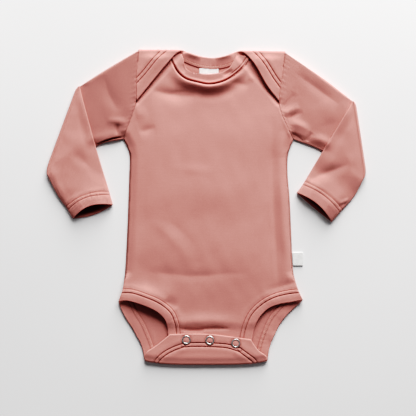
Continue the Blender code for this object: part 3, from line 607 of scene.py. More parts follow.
def bell(value, half_width):
    """A smooth bump, 1 at 0."""
    return np.exp(-(value / half_width) ** 2)


def swells(to_seam, table):
    """Relief of a table of swells along a seam."""
    return sum(swell.rise * bell(to_seam - swell.place, swell.half_width) for swell in table)


def pucker(along, seed):
    """Uneven gathering along a sewn line, between about -1.6 and 1.6."""
    wave = np.sin(2 * math.pi * along / PUCKER_PITCH + 1.3 * np.sin(along / 17.0 + seed))
    return wave + 0.6 * np.sin(2 * math.pi * along / (0.61 * PUCKER_PITCH) + seed)


def hem_relief(to_seam, to_edge, along, seed, first=1.0, second=1.0):
    """Relief of a twin-needle hem on the side that shows, around the cloth's own level.

    first and second are the shares of full depth of the needle lines on the hem's side and
    on the panel's side of the seam."""
    beside = bell(to_seam, 5.0) * (0.75 + 0.25 * np.sin(along / 11.0 + 2 * seed))
    lines = first * bell(to_seam - TWIN_HALF, GROOVE_HALF)
    lines = lines + second * bell(to_seam + TWIN_HALF, GROOVE_HALF)
    relief = -GROOVE * lines
    relief += HEM_STEP * ramp(to_seam, -TWIN_HALF - 0.6, -TWIN_HALF + 1.2)
    relief += swells(to_seam, HEM_SWELLS)
    relief += PUCKER * pucker(along, seed) * beside * ramp(to_edge, 0.0, 2.0)
    return relief


# -------------------------------------------------------------------- how the cloth lies
HEMS = {
    "front_neck": Hem(FRONT_NECK),
    "front_left": Hem(FRONT_LEG_LEFT),
    "front_right": Hem(FRONT_LEG_RIGHT),
    "back_neck": Hem(BACK_NECK, overrun=4.0),
    "back_left": Hem(BACK_LEG_LEFT),
    "back_right": Hem(BACK_LEG_RIGHT),
    "crotch": Hem(CROTCH_END),
}
FRONT_HEMS = [HEMS[name] for name in ("front_neck", "front_left", "front_right")]
BACK_HEMS = [HEMS[name] for name in ("back_neck", "back_left", "back_right", "crotch")]
CROWN_LINE = smooth_rows(BODY_CROWN, 6)


def body_crown(points, edge):
    """How far the slack body stands up in its middle."""
    rise = np.interp(-points[:, 1], -CROWN_LINE[:, 0], CROWN_LINE[:, 1])
    on_body = ramp(points[:, 0], *CROWN_SIDES["left"])
    on_body *= ramp(-points[:, 0], -CROWN_SIDES["right"][0], -CROWN_SIDES["right"][1])
    return rise * on_body * ramp(edge, 0.0, CROWN_REACH)


def side_points(rows, side):
    """One side of a table of edges, as points."""
    return np.array([(getattr(row, side), row.y) for row in rows])


def sleeve_top(side):
    """The folded top edge of the upper sleeve."""
    sleeve = SLEEVES[side]
    return np.vstack([side_points(ARMHOLE[:1], side), [sleeve.upper[:2], sleeve.elbow[:2]]])


def sleeve_low(side):
    """The low edge of the upper sleeve, from the elbow to the armpit."""
    sleeve = SLEEVES[side]
    return np.vstack([[sleeve.elbow[2:], sleeve.upper[2:]], side_points(SIDE_SEAM[:1], side)])


def side_distance(points, side):
    """Distance to the elbow, the sleeve's low edge and the side seam of one side."""
    elbow = [SLEEVES[side].elbow[:2]]
    line = np.vstack([elbow, sleeve_low(side), side_points(SIDE_SEAM[1:-1], side)])
    return nearest(points, line)[0]


def air_under_front(points):
    """Height of the air between the lower and the upper layer of body and sleeves."""
    edges = {side: side_distance(points, side) for side in SIDES}
    edge = np.minimum(edges["left"], edges["right"])
    puff = PUFF * rounded(edges["left"], PUFF_REACH["left"])
    puff = puff * rounded(edges["right"], PUFF_REACH["right"])
    height = GAP + INNER_RISE * ramp(edge, 0.0, SEAM_RISE)
    margin = ramp(edge, 0.0, CREASE_MARGIN) * ramp(points[:, 1], FLAP_TOP, FLAP_TOP + FLAP_MARGIN)
    margin *= rounded(nearer(points, {side: sleeve_top(side) for side in SIDES}), TOP_REACH)
    for outline in LAP_OUTLINES:
        beside, _ = nearest(points, outline + outline[:1])
        margin *= np.where(inside(points, np.array(outline)), 0.0, ramp(beside, 0.0, LAP_MARGIN))
    form = crease_height(points, BODY_CREASES) + puff + body_crown(points, edge)
    form += SLACK * waves(points, 70.0, 5) + RIPPLE * waves(points, 26.0, 8)
    pinches = crease_height(points, PINCHES) * ramp(edge, 0.0, PINCH_MARGIN)
    return np.maximum(height + margin * form + pinches, GAP / 2)


def off_laps(points):
    """1 on the open front, falling to 0 under the laps."""
    share = np.ones(len(points))
    for start, end in LAP_EDGES:
        share *= ramp(side_of(points, start, end), -2.0, 5.0)
    return share


def neck_lift(points):
    """The neck band, the groove beside it, the body's ridge and the hollow below that."""
    hem = HEMS["front_neck"]
    whole = step_lengths(hem.seam).sum()
    to_edge, to_seam, along = hem.measure(points)
    middle = np.sin(math.pi * np.clip(along / whole, 0, 1))
    past_crest = to_seam + RIDGE_OFFSET
    ridge = np.where(past_crest > 0, bell(past_crest, RIDGE_INNER), bell(past_crest, RIDGE_OUTER))
    groove = bell(to_seam + GROOVE_OFFSET, 1.0) * np.clip(GROOVE_FADE * middle, 0.0, 1.0)
    lift = NECK_RIDGE * middle ** 2 * ridge - NECK_GROOVE * groove
    lift -= NECK_HOLLOW * middle ** 3 * bell(to_seam + HOLLOW_OFFSET, HOLLOW_HALF)
    from_end = np.minimum(along, whole - along)
    lift -= INNER_RISE * (1 - ramp(from_end, *NECK_ENDS)) * (to_seam > -9.0)
    lift += NECK_LIFT * middle ** 1.5 * (1 - ramp(to_edge, 0, NECK_LIFT_REACH))
    lift += crease_height(points, BAND_DIMPLES)
    return lift * off_laps(points)


def lift_of_front(points):
    """How far the front's neck and leg edges stand off the back."""
    lift = neck_lift(points)
    for side in SIDES:
        line = HEMS[f"front_{side}"].edge
        to_edge, along = nearest(points, line)
        share = np.clip(along / (LEG_LIFT_END * step_lengths(line).sum()), 0.0, 1.0)
        near = 1 - ramp(to_edge, 0, LEG_LIFT_REACH)
        lift += LEG_LIFT[side] * np.sin(math.pi * share) ** 1.2 * near
    return lift


def bowed(points):
    """Curve the ends of the crotch fold up."""
    reach = ramp(-points[:, 1], -CROTCH_BOW_TOP, -CROTCH_BOW_LOW)
    moved = points.copy()
    moved[:, 1] += CROTCH_BOW * reach * (np.abs(points[:, 0]) / CROTCH_HALF) ** 4
    return moved


def lay_front(points, height):
    """The front and its hems lie on the back."""
    rest = CLOTH + np.maximum(air_under_front(points) + lift_of_front(points), GAP / 2)
    return np.column_stack([bowed(points), rest + height])


def lay_back(points, height):
    """The back rests on the plane; its laps and its flap turn over onto the front."""
    plan = points.copy()
    level = height.copy()
    for fold in (SHOULDER_FOLD, CROTCH_FOLD):
        depth = beyond(points, fold)
        angle = np.clip(depth / FOLD_TURN, 0.0, 1.0) * math.pi
        radius = FOLD_AXIS - height
        back = radius * np.sin(angle) - np.maximum(depth, 0.0)
        back -= np.maximum(depth - FOLD_TURN, 0.0)
        plan += back[:, None] * fold_normal(fold)
        turned = FOLD_AXIS - radius * np.cos(angle)
        if fold is CROTCH_FOLD:
            past = ramp(depth, FOLD_TURN, FOLD_TURN + CROTCH_PRESS_REACH)
            turned = turned * (1 - CROTCH_PRESS * ramp(depth, 0.0, FOLD_TURN) * (1 - past))
        level = np.where(depth > 0, turned, level)
    return np.column_stack([bowed(plan), level])


def turned_share(points):
    """0 where the back rests on the plane, 1 where it has turned over."""
    share = np.zeros(len(points))
    for fold in (SHOULDER_FOLD, CROTCH_FOLD):
        share = np.maximum(share, ramp(beyond(points, fold), 0.15 * FOLD_TURN, 0.8 * FOLD_TURN))
    return share


# -------------------------------------------------------------------------- mesh making
def outward_facing(data):
    """Turn a closed mesh's faces so that they face out."""
    mesh = bmesh.new()
    mesh.from_mesh(data)
    if mesh.calc_volume(signed=True) < 0:
        bmesh.ops.reverse_faces(mesh, faces=mesh.faces)
    mesh.to_mesh(data)
    mesh.free()


def add_mesh(name, points, faces, look, uv=None, painted_shade=None):
    """A smooth closed object from points in table millimetres; uv is a pair for each point.

    The last argument is the share of painted shade at each point: darkening painted on needle lines,
    seams, round snaps, along the underarm slit and inside sleeves."""
    data = bpy.data.meshes.new(name)
    data.from_pydata(((np.asarray(points) - ORIGIN) * MM).tolist(), [], [list(f) for f in faces])
    data.validate()
    if uv is not None:
        layer = data.uv_layers.new(name="cut")
        corners = np.empty(len(data.loops), dtype=np.int32)
        data.loops.foreach_get("vertex_index", corners)
        layer.uv.foreach_set("vector", np.asarray(uv, dtype=np.float32)[corners].ravel())
    if painted_shade is not None:
        data.attributes.new("painted_shade", "FLOAT", "POINT").data.foreach_set("value", painted_shade)
    data.shade_smooth()
    outward_facing(data)
    data.materials.append(look)
    made = bpy.data.objects.new(name, data)
    bpy.context.scene.collection.objects.link(made)
    return made


def cut_at_fold(outline, fold):
    """Add a point to an outline wherever it crosses one of a fold's facet lines."""
    points = []
    for start, end in zip(outline, np.roll(outline, -1, axis=0)):
        points.append(start)
        d0, d1 = beyond(np.array([start, end]), fold)
        levels = [FOLD_TURN * step / FOLD_STEPS for step in range(FOLD_STEPS + 1)]
        crossed = [
            (level - d0) / (d1 - d0) for level in levels
            if min(d0, d1) + 0.02 < level < max(d0, d1) - 0.02
        ]
        points.extend(start + t * (end - start) for t in sorted(crossed))
    return np.array(points)


# Lines of points along a hem: this far in from its free edge, and on both sides of its seam
FROM_EDGE = [0.2, 0.45, 0.8, 1.3, 2.0, 3.2, 4.7, 6.4]
BESIDE_SEAM = [0.15, 0.5, 0.9, 1.3, 1.65, 1.95, TWIN_HALF, 2.45, 2.75, 3.1, 3.6, 4.4]
PANEL_SIDE = [-step for step in BESIDE_SEAM] + [-5.4]
INSIDE_OUTLINE = (0.3, 0.65, 1.1, 1.7)
HEM_CLEAR = (5.8, 7.2)     # the loose grid keeps this far from a hem's seam and from its edge


def loose_grid(outline, spacing):
    """A triangular grid over a cut piece."""
    low, high = outline.min(0), outline.max(0)
    rows = []
    for row, y in enumerate(np.arange(low[1], high[1], spacing * math.sqrt(0.75))):
        xs = np.arange(low[0] + spacing * (row % 2) / 2, high[0], spacing)
        rows.append(np.column_stack([xs, np.full(len(xs), y)]))
    return np.vstack(rows)


def fold_rows(fold):
    """Rows of points along a fold, one at each of its facet lines."""
    start = np.array([fold.x0, fold.y0])
    run = np.array([fold.x1, fold.y1]) - start
    count = int(np.hypot(*run))
    rows = []
    for step in range(FOLD_STEPS + 1):
        across = start + fold_normal(fold) * FOLD_TURN * step / FOLD_STEPS
        rows.append(across + run * np.linspace(0, 1, count)[:, None])
    return np.vstack(rows)


def hem_rows(hem):
    """Rows of points along a hem and beside its seam."""
    rows = [hem.line(hem.width - step) for step in FROM_EDGE]
    for step in BESIDE_SEAM[::-1] + PANEL_SIDE:
        rows.append(hem.line(np.full(len(hem.seam), step)))
    return np.vstack(rows)


def beside_ends(outline, hems):
    """Rows of points just inside an outline where it cuts across the end of a hem."""
    run = np.roll(outline, -1, axis=0) - np.roll(outline, 1, axis=0)
    inward = np.column_stack([-run[:, 1], run[:, 0]]) / np.hypot(*run.T)[:, None]
    if not inside(outline[:1] + 0.1 * inward[:1], outline)[0]:
        inward = -inward
    across = np.zeros(len(outline), dtype=bool)
    for hem in hems:
        to_edge, to_seam, _ = hem.measure(outline)
        across |= (np.abs(to_seam) < NEAR_SEAM) & (to_edge > 0.3)
    return np.vstack([outline[across] + step * inward[across] for step in INSIDE_OUTLINE])


def cloth_points(outline, hems, folds, spacing):
    """Points inside a cut piece: rows along hems and folds, and a loose grid between them."""
    grid = loose_grid(outline, spacing)
    clear = np.ones(len(grid), dtype=bool)
    sets = []
    for hem in hems:
        to_edge, to_seam, _ = hem.measure(grid)
        clear &= (np.abs(to_seam) > HEM_CLEAR[0]) & ((to_seam < 0) | (to_edge > HEM_CLEAR[1]))
        sets.append((hem_rows(hem), 0.07))
    for fold in folds:
        depth = beyond(grid, fold)
        clear &= (depth < -0.4 * spacing) | (depth > FOLD_TURN + 0.4 * spacing)
        for number, (points, margin) in enumerate(sets):
            depth = beyond(points, fold)
            sets[number] = (points[(depth < -0.2) | (depth > FOLD_TURN + 0.2)], margin)
    sets += [(fold_rows(fold), 0.25) for fold in folds]
    sets.append((grid[clear], 0.45 * spacing))
    sets.append((beside_ends(outline, hems), 0.2))
    closed = np.vstack([outline, outline[:1]])
    kept = []
    for points, margin in sets:
        points = points[inside(points, outline)]
        kept.append(points[nearest(points, closed)[0] > margin])
    return np.vstack(kept)


def needle_lines(to_seam, on_panel=1.0, on_hem=1.0):
    """1 on the two needle lines of a hem, fading to 0 beside them."""
    lines = on_panel * bell(to_seam + TWIN_HALF, GROOVE_HALF)
    return lines + on_hem * bell(to_seam - TWIN_HALF, GROOVE_HALF)


def painted_seam_shade(points, hems):
    """Share of painted shade at each point of a cut piece, on either of its faces: on needle lines,
    the neck band's seam and round the snaps.
    """
    share = np.zeros(len(points))
    for hem in hems:
        _, to_seam, _ = hem.measure(points)
        lines = needle_lines(to_seam)
        if hem is HEMS["front_neck"]:
            sewn = ramp(points[:, 0], *NECK_SEWN)
            plain = bell(to_seam + BAND_SEAM[0], BAND_SEAM[1])
            lines = sewn * lines + BAND_SEAM_PAINTED_SHADE * (1 - sewn) * plain
        elif hem in BACK_HEMS:
            lines = BACK_LINE_PAINTED_SHADE * lines
        share = np.maximum(share, lines)
    # painted shade in a ring round each snap
    for centre in unfolded(np.array(SNAP_CENTRES), CROTCH_FOLD):
        gap = np.hypot(*(points - centre).T)
        share = np.maximum(share, bell(gap - SNAP_PRESS, 0.7))
    return np.clip(share, 0.0, 1.5)


def add_cloth(name, outline, hems, folds, spacing, form, lay, look):
    """A closed shell of cloth; form gives the two faces' heights above the lower face."""
    for fold in folds:
        outline = cut_at_fold(outline, fold)
    points = np.vstack([outline, cloth_points(outline, hems, folds, spacing)])
    flat, _, faces, *_ = geometry.delaunay_2d_cdt(
        [Vector(point) for point in points], [], [list(range(len(outline)))], 1, 1e-4)
    flat = np.array(flat)
    faces = np.array(faces)
    pairs = np.sort(np.vstack([faces[:, [0, 1]], faces[:, [1, 2]], faces[:, [2, 0]]]), axis=1)
    edges, times = np.unique(pairs, axis=0, return_counts=True)
    rim = np.zeros(len(flat), dtype=bool)
    rim[edges[times == 1].ravel()] = True
    low, high = form(flat, rim)
    upper = lay(flat, high)
    lower = lay(flat[~rim], low[~rim])
    below = np.arange(len(flat))
    below[~rim] = len(flat) + np.arange((~rim).sum())
    # painted shade on seams and needle lines, kept on the points
    share = painted_seam_shade(flat, hems)
    return add_mesh(
        name, np.vstack([upper, lower]), np.vstack([faces, below[faces][:, ::-1]]), look,
        uv=np.vstack([flat, flat[~rim]]) * MM, painted_shade=np.concatenate([share, share[~rim]]))


def thickness(to_seam):
    """Thickness of the cloth, from the single jersey to the turned hem."""
    return CLOTH + (HEM - CLOTH) * ramp(to_seam, -TWIN_HALF - 1.4, -TWIN_HALF + 0.2)


def form_front(points, rim):
    """Heights of the front's two faces above where its lower face rests."""
    shown = np.zeros(len(points))
    thick = np.full(len(points), CLOTH)
    to_free = np.full(len(points), 1e3)
    for number, hem in enumerate(FRONT_HEMS):
        to_edge, to_seam, along = hem.measure(points)
        relief = hem_relief(to_seam, to_edge, along, number)
        wall = thickness(to_seam)
        if hem is HEMS["front_neck"]:
            sewn = ramp(points[:, 0], *NECK_SEWN)
            relief = sewn * relief + (1 - sewn) * swells(to_seam, BAND_SWELLS)
            wall = sewn * wall + (1 - sewn) * (CLOTH + (HEM - CLOTH) * ramp(to_seam, -0.5, 0.5))
        thick = np.maximum(thick, wall)
        shown += np.where(to_seam > -NEAR_SEAM, relief, 0.0)
        to_free = np.minimum(to_free, to_edge)
    round_off = rounded(nearer(points, FRONT_SIDES), SIDE_ROUND)
    round_off = np.minimum(round_off, rounded(to_free, EDGE_ROUND))
    round_off[rim] = 0.0
    middle = thick / 2
    low = middle * (1 - round_off)
    high = middle + (middle + np.maximum(shown, 0.35 - thick)) * round_off
    return low, high


def lap_rise(points):
    """How far the free edges of the turned laps stand up."""
    past_fold = beyond(points, SHOULDER_FOLD) - FOLD_TURN
    to_edge, _ = nearest(points, HEMS["back_neck"].edge)
    on_side = nearer(points, BACK_SIDES)
    rise = np.where(points[:, 0] > 0, LAP_RISE["right"], LAP_RISE["left"])
    rise = rise * ramp(past_fold, 0.0, LAP_RISE_REACH) * (1 - ramp(to_edge, 0.0, LAP_RISE_REACH))
    rise = rise * ramp(on_side, 0.0, 18.0)
    hump = LAP_HUMP * ramp(past_fold, 0.0, 9.0) * (1 - ramp(past_fold, 4.0, 58.0))
    hump *= ramp(on_side, 0.0, 20.0) * ramp(to_edge, 0.0, 12.0)
    return rise + hump + LAP_CLEAR * ramp(past_fold, 0.0, 8.0)


def flap_arch(points):
    """How far the flap stands up between its snaps and its fold."""
    past_fold = beyond(points, CROTCH_FOLD) - FOLD_TURN
    return FLAP_ARCH * ramp(past_fold, -4.0, 6.0) * (1 - ramp(past_fold, 6.0, 24.0))


def snap_relief(points):
    """The cloth domes up inside each snap ring and is pressed down around it."""
    total = np.zeros(len(points))
    for centre in unfolded(np.array(SNAP_CENTRES), CROTCH_FOLD):
        gap = np.hypot(*(points - centre).T)
        total += 0.75 * bell(gap, 2.4) - 0.45 * bell(gap - SNAP_PRESS, 0.9)
    return total


def form_back(points, rim):
    """Heights of the back's two faces above the plane it is cut on."""
    over = turned_share(points)
    inner = np.zeros(len(points))
    thick = np.full(len(points), CLOTH)
    to_free = np.full(len(points), 1e3)
    for number, hem in enumerate(BACK_HEMS, start=5):
        to_edge, to_seam, along = hem.measure(points)
        thick = np.maximum(thick, thickness(to_seam))
        relief = hem_relief(to_seam, to_edge, along, number, first=over)
        inner += np.where(to_seam > -NEAR_SEAM, relief, 0.0)
        to_free = np.minimum(to_free, to_edge)
    round_off = rounded(nearer(points, BACK_SIDES), BACK_ROUND - over)
    round_off = np.minimum(round_off, rounded(to_free, EDGE_ROUND))
    round_off[rim] = 0.0
    inner += over * snap_relief(points)
    middle = thick / 2
    rest = 0.5 * (1 - over) * (1 - ramp(to_free, 0.0, 16.0)) * (1 + waves(points, 30.0, 21))
    rest = np.maximum(rest, 0.0) + crease_height(points, BAND_CREASES)
    rest -= lap_rise(points) + flap_arch(points)
    low = middle - (middle + over * np.clip(inner, -0.85, 0.8)) * round_off + rest
    high = middle + (middle + (1 - over) * np.clip(inner, -0.6, 0.8)) * round_off + rest
    return low, high


def body_side(side, top_y, inset=0.0):
    """Armhole and side seam of one side, from a height below the shoulder down to the leg."""
    armhole = smooth_rows(side_points(ARMHOLE, side), 4)
    share = (armhole[0, 1] - top_y) / (armhole[0, 1] - armhole[1, 1])
    armhole[0] += share * (armhole[1] - armhole[0])
    seam = smooth_rows(side_points(SIDE_SEAM, side), 6)
    fading = ramp(-seam[:, 1], -74.0, -58.0) * ramp(seam[:, 1], -101.0, -84.0)
    seam[:, 0] -= OUTWARD[side] * inset * fading
    return evenly(np.vstack([armhole[:-1], seam]), 1.5)


def back_side(side):
    """The back's side with its lap's outer edge, as it was cut."""
    top = SHOULDER_FOLD.y1 if side == "left" else SHOULDER_FOLD.y0
    lying = body_side(side, top)
    lap = lying[lying[:, 1] > ARMHOLE[1].y - LAP_CUT]
    return np.vstack([unfolded(lap, SHOULDER_FOLD)[::-1], lying])


FRONT_SIDES = {
    "left": body_side("left", FRONT_NECK[0].seam_y, SIDE_INSET),
    "right": body_side("right", FRONT_NECK[-1].seam_y, SIDE_INSET),
}
BACK_SIDES = {side: back_side(side) for side in SIDES}


def cut_outline(sides, hems, end, top):
    """Outline of a cut piece: down the left side, round the bottom and up the right side."""
    left, right = hems
    outline = np.vstack([
        sides["left"][:-1],
        left.rows[:1, 2:],
        left.edge,
        end,
        right.edge[::-1],
        right.rows[:1, 2:],
        sides["right"][::-1][1:],
        top.edge[::-1],
    ])
    return denser(outline, OUTLINE_STEP)


def denser(outline, spacing):
    """A closed outline with points added so that none of its steps is longer than spacing."""
    points = []
    for start, end in zip(outline, np.roll(outline, -1, axis=0)):
        count = max(1, int(math.ceil(np.hypot(*(end - start)) / spacing)))
        points.extend(start + (end - start) * k / count for k in range(count))
    clean = [points[0]]
    for point in points[1:]:
        if np.hypot(*(point - clean[-1])) > 0.05:
            clean.append(point)
    if np.hypot(*(clean[0] - clean[-1])) <= 0.05:
        clean.pop()
    return np.array(clean)


def add_front(look):
    """The front body with its neck and leg hems."""
    neck, *legs = FRONT_HEMS
    outline = cut_outline(FRONT_SIDES, legs, np.empty((0, 2)), neck)
    return add_cloth("front_cloth", outline, FRONT_HEMS, (), FRONT_GRID, form_front, lay_front, look)


def add_back(look):
    """The back body with its laps, its flap and their hems."""
    neck, *legs, crotch = BACK_HEMS
    outline = cut_outline(BACK_SIDES, legs, crotch.edge[1:-1], neck)
    folds = (SHOULDER_FOLD, CROTCH_FOLD)
    return add_cloth("back_cloth", outline, BACK_HEMS, folds, BACK_GRID, form_back, lay_back, look)


# ------------------------------------------------------------------------------- sleeves
# Places across a sleeve, as shares from its top edge to its low edge, closer at both edges
SHARES = np.concatenate([
    [0, 0.0015, 0.004, 0.0075, 0.013, 0.020, 0.030],
    np.linspace(0.045, 0.940, 70),
    np.linspace(0.946, 0.982, 9),
    [0.986, 0.9895, 0.993, 0.996, 0.9985, 1.0],
])
# Places along it, counted in its named sections: armhole, upper, elbow, closer at the seam,
UPPER_PLACES = np.concatenate([
    [0, 0.004, 0.010, 0.020, 0.035, 0.055, 0.080],
    np.linspace(0.11, 1.2, 44),
    np.linspace(1.23, 2.0, 22),
])
# and elbow, fore, hem, cuff, closer at the needle lines and the mouth
FORE_PLACES = np.concatenate([
    np.linspace(0.0, 1.9, 44),
    np.linspace(1.93, 2.26, 18),
    np.linspace(2.30, 2.90, 12),
    [2.93, 2.955, 2.975, 2.99, 3.0],
])


def cross_points(cross):
    """Points along a straight cross section of a sleeve."""
    top = np.array([cross.top_x, cross.top_y])
    low = np.array([cross.low_x, cross.low_y])
    return top + SHARES[:, None] * (low - top)


def armhole_points(side):
    """Points along the armhole, at the sleeve's own shares, from below the lap's corner."""
    line = smooth_rows(side_points(ARMHOLE, side), 6)
    line[0] = [np.interp(-SLEEVE_TOP[side], -line[:, 1], column) for column in line.T]
    along = places_along(line) / step_lengths(line).sum()
    return np.column_stack([np.interp(SHARES, along, column) for column in line.T])


def spline(sections, places):
    """Smooth blend of whole cross sections, at places counted in sections."""
    padded = run_out(np.array(sections))
    rows = []
    for place in places:
        k = min(int(place), len(sections) - 2)
        rows.append(catmull_rom(*padded[k:k + 4], place - k))
    return np.array(rows)


def upper_height(points, side):
    """Full height of the upper sleeve, from the plane to its upper face."""
    beside_lap = side_points([row for row in ARMHOLE if row.y > LAP_END], side)
    head = 1 - ramp(nearest(points, beside_lap)[0], 0.0, SHOULDER_REACH)
    return 2 * CLOTH + sleeve_air(points, side, head)


def sleeve_air(points, side, head):
    """Height of the air inside the upper sleeve, which stands up along its folded top edge."""
    sleeve = SLEEVES[side]
    beside_body = side_points([row for row in ARMHOLE if row.y < LAP_END], side)
    to_top, _ = nearest(points, sleeve_top(side))
    to_low, _ = nearest(points, sleeve_low(side))
    to_elbow, _ = nearest(points, (sleeve.elbow[:2], sleeve.elbow[2:]))
    to_body, _ = nearest(points, beside_body)
    share = to_low / np.maximum(to_top + to_low, 0.1)
    lengthwise = 0.6 + 0.4 * to_elbow / np.maximum(to_elbow + to_body, 0.1)
    roll = SLEEVE_ROLL[side] * share * lengthwise * rounded(to_top, TOP_REACH)
    slack = LOW_SLACK * PUFF * (1 - share) * ramp(to_low, 0.0, LOW_SLACK_REACH)
    form = (roll - slack) * ramp(to_elbow, 0.0, ELBOW_MARGIN)
    form *= ramp(to_body, 0.0, ARMHOLE_MARGIN)
    under_fore = -OUTWARD[side] * side_of(points, sleeve.elbow[:2], sleeve.fore[:2])
    pressed = 1 - PRESS * ramp(under_fore, 0.0, PRESS_REACH)
    air = GAP + (air_under_front(points) + form - GAP) * pressed
    if side == "left":
        above, share = over_underarm(points)
        swell = UNDERARM_SWELL * bell(above, UNDERARM_REACH)
        air += share * (swell - UNDERARM_DEPTH * bell(above, UNDERARM_HALF))
    return np.maximum(air + head * (SHOULDER_AIR - air), GAP / 2)


def over_underarm(points):
    """Distance above the left sleeve's slit, and 1 along its middle, 0 past its ends."""
    line = np.array(UNDERARM)
    gap, along = nearest(points, line)
    above = np.where(points[:, 1] > np.interp(points[:, 0], *line.T), gap, -gap)
    share = np.clip(along / step_lengths(line).sum(), 0.0, 1.0)
    return above, np.sqrt(np.sin(math.pi * share))


def fore_crown(points, side):
    """Height that the forearm's own creases add to it."""
    sleeve = SLEEVES[side]
    tops = [(cross.top_x, cross.top_y) for cross in (sleeve.elbow, sleeve.fore, sleeve.cuff)]
    lows = [(cross.low_x, cross.low_y) for cross in (sleeve.elbow, sleeve.fore, sleeve.cuff)]
    edge = np.minimum(nearest(points, tops[:1] + lows)[0], nearest(points, tops)[0])
    form = crease_height(points, FOREARM_CREASES) * ramp(edge, 0.0, FOREARM_REACH)
    past = past_elbow(points, side)
    body = FOREARM_PUFF + FOREARM_SWELL[side] * ramp(past, 0.0, FOREARM_FALL[side])
    form += body * (0.35 * rounded(edge, FOREARM_REACH) + 0.65 * ramp(edge, 0.0, FOREARM_REACH))
    form += 0.30 * waves(points, 45.0, 31) + 0.08 * waves(points, 20.0, 33)
    form += crease_height(points, FOREARM_PINCHES)
    return np.maximum(form * ramp(edge, 0.0, FOREARM_EDGE), 0.0)


def past_elbow(points, side):
    """How far each point of a forearm lies beyond the sleeve's low edge."""
    sleeve = SLEEVES[side]
    return OUTWARD[side] * side_of(points, sleeve.upper[2:], sleeve.elbow[2:])


def fore_rest(points, side):
    """Height of whatever the forearm lies on."""
    past = past_elbow(points, side)
    beneath = np.where(past > 0, 2 * CLOTH + GAP, upper_height(points, side))
    return (beneath + LAYER_GAP) * (1 - ramp(past, 0.0, FOREARM_FALL[side]))


class SleeveRows:
    """Cross sections of a sleeve, from the armhole round the elbow's fold to the cuff.

    turn is the angle of each section round the fold: 0 on the upper half, pi on the forearm."""

    def __init__(self, side):
        self.side = side
        self.armhole = armhole_points(side) - (OUTWARD[side] * GAP / 2, 0.0)
        upper, elbow, fore, hem, cuff = (cross_points(cross) for cross in SLEEVES[side])
        run = elbow[-1] - elbow[0]
        self.outward = np.array([run[1], -run[0]]) / np.hypot(*run) * -OUTWARD[side]
        corner = ramp(SHARES, 0.84, 1.0) ** 1.5 + 0.25 * ramp(-SHARES, -0.06, 0.0)
        elbow = elbow - (ELBOW_CORNER * corner)[:, None] * self.outward
        self.upper = spline([self.armhole, upper, elbow], UPPER_PLACES)
        self.fore = spline([elbow, fore, hem, cuff], FORE_PLACES)
        turned = np.repeat(elbow[None], ELBOW_TURNS, axis=0)
        self.plan = np.concatenate([self.upper, turned, self.fore])
        self.turn = np.full(len(self.plan), math.pi)
        self.turn[:len(self.upper)] = 0.0
        turns = np.linspace(0.0, math.pi, ELBOW_TURNS + 2)[1:-1]
        self.turn[len(self.upper):-len(self.fore)] = turns
        self.is_upper = self.turn == 0.0
        self.is_fore = self.turn == math.pi
        self.is_turn = ~(self.is_upper | self.is_fore)
        self.width = np.hypot(*(self.plan[:, -1] - self.plan[:, 0]).T)[:, None]
        self.from_side = np.minimum(SHARES, 1 - SHARES) * self.width
        axis = cuff[0] + cuff[-1] - hem[0] - hem[-1]
        self.axis = axis / np.hypot(*axis)
        outer_side = np.sign(side_of(cuff[:1], hem[0], hem[-1])[0])
        self.to_seam = self.on_fore(
            lambda points: outer_side * side_of(points, hem[0], hem[-1]), -99.0)
        self.to_mouth = self.on_fore(
            lambda points: np.abs(side_of(points, cuff[0], cuff[-1])), 99.0)

    def spread(self, rows, mask, measure, elsewhere):
        """What measure gives at each point of some of the sections, and a value elsewhere."""
        values = np.full(self.plan.shape[:2], elsewhere)
        values[mask] = measure(rows.reshape(-1, 2)).reshape(-1, len(SHARES))
        return values

    def on_upper(self, measure, elsewhere=0.0):
        """What measure gives at each point of the upper half."""
        return self.spread(self.upper, self.is_upper, measure, elsewhere)

    def on_fore(self, measure, elsewhere=0.0):
        """What measure gives at each point of the forearm."""
        return self.spread(self.fore, self.is_fore, measure, elsewhere)


def sleeve_height(rows, wall):
    """Height between a sleeve's two outer faces, at each point of its sections."""
    side = rows.side
    flat = 2 * wall + GAP
    upper = rows.on_upper(lambda points: upper_height(points, side))
    crown = rows.on_fore(lambda points: fore_crown(points, side))
    arch = np.sin(math.pi * SHARES)
    opening = MOUTHS[side].lift * (1 - ramp(rows.to_mouth, 0.0, CUFF_REACH)) * arch ** 0.5
    return np.where(rows.is_upper[:, None], upper, flat + crown + opening)


def sleeve_levels(rows):
    """Levels of a sleeve's low and high faces, outside and inside, where it is cut."""
    wall = CLOTH + CUFF_STEP * (thickness(rows.to_seam) - CLOTH)
    height = sleeve_height(rows, wall)
    middle = (2 * wall + GAP) / 2
    full = rounded(rows.from_side, SIDE_FOLD)
    end = 0.4 * wall * (1 - rounded(rows.to_mouth, MOUTH_ROUND))
    low = middle * (1 - full) + end
    high = middle + (height - middle) * full - end
    along = np.broadcast_to(SHARES * CUFF_WIDTH, rows.to_seam.shape)
    stitched = hem_relief(rows.to_seam, rows.to_mouth, along, 9, first=0.55, second=1.15)
    low -= np.where(rows.to_seam > -NEAR_SEAM, stitched, 0.0) * full
    high += np.where(rows.is_upper[:, None], armhole_relief(rows) * full, 0.0)
    low_inside = middle - np.maximum(middle - wall, 0.1) * full - end
    high_inside = middle + np.maximum(height - middle - wall, 0.1) * full + end
    return height, (low, high), (low_inside, high_inside)


def armhole_relief(rows):
    """Relief of the upper sleeve beside the armhole's seam."""
    from_seam = np.hypot(*np.moveaxis(rows.plan - rows.armhole, -1, 0))
    gathers = np.sin(2 * math.pi * SHARES * GATHERS + 2 * np.sin(SHARES * 9))
    dip = ARMHOLE_DIP * (1 - rounded(from_seam, ARMHOLE_DIP_REACH))
    return GATHER_DEPTH * gathers * bell(from_seam, GATHER_REACH) - dip


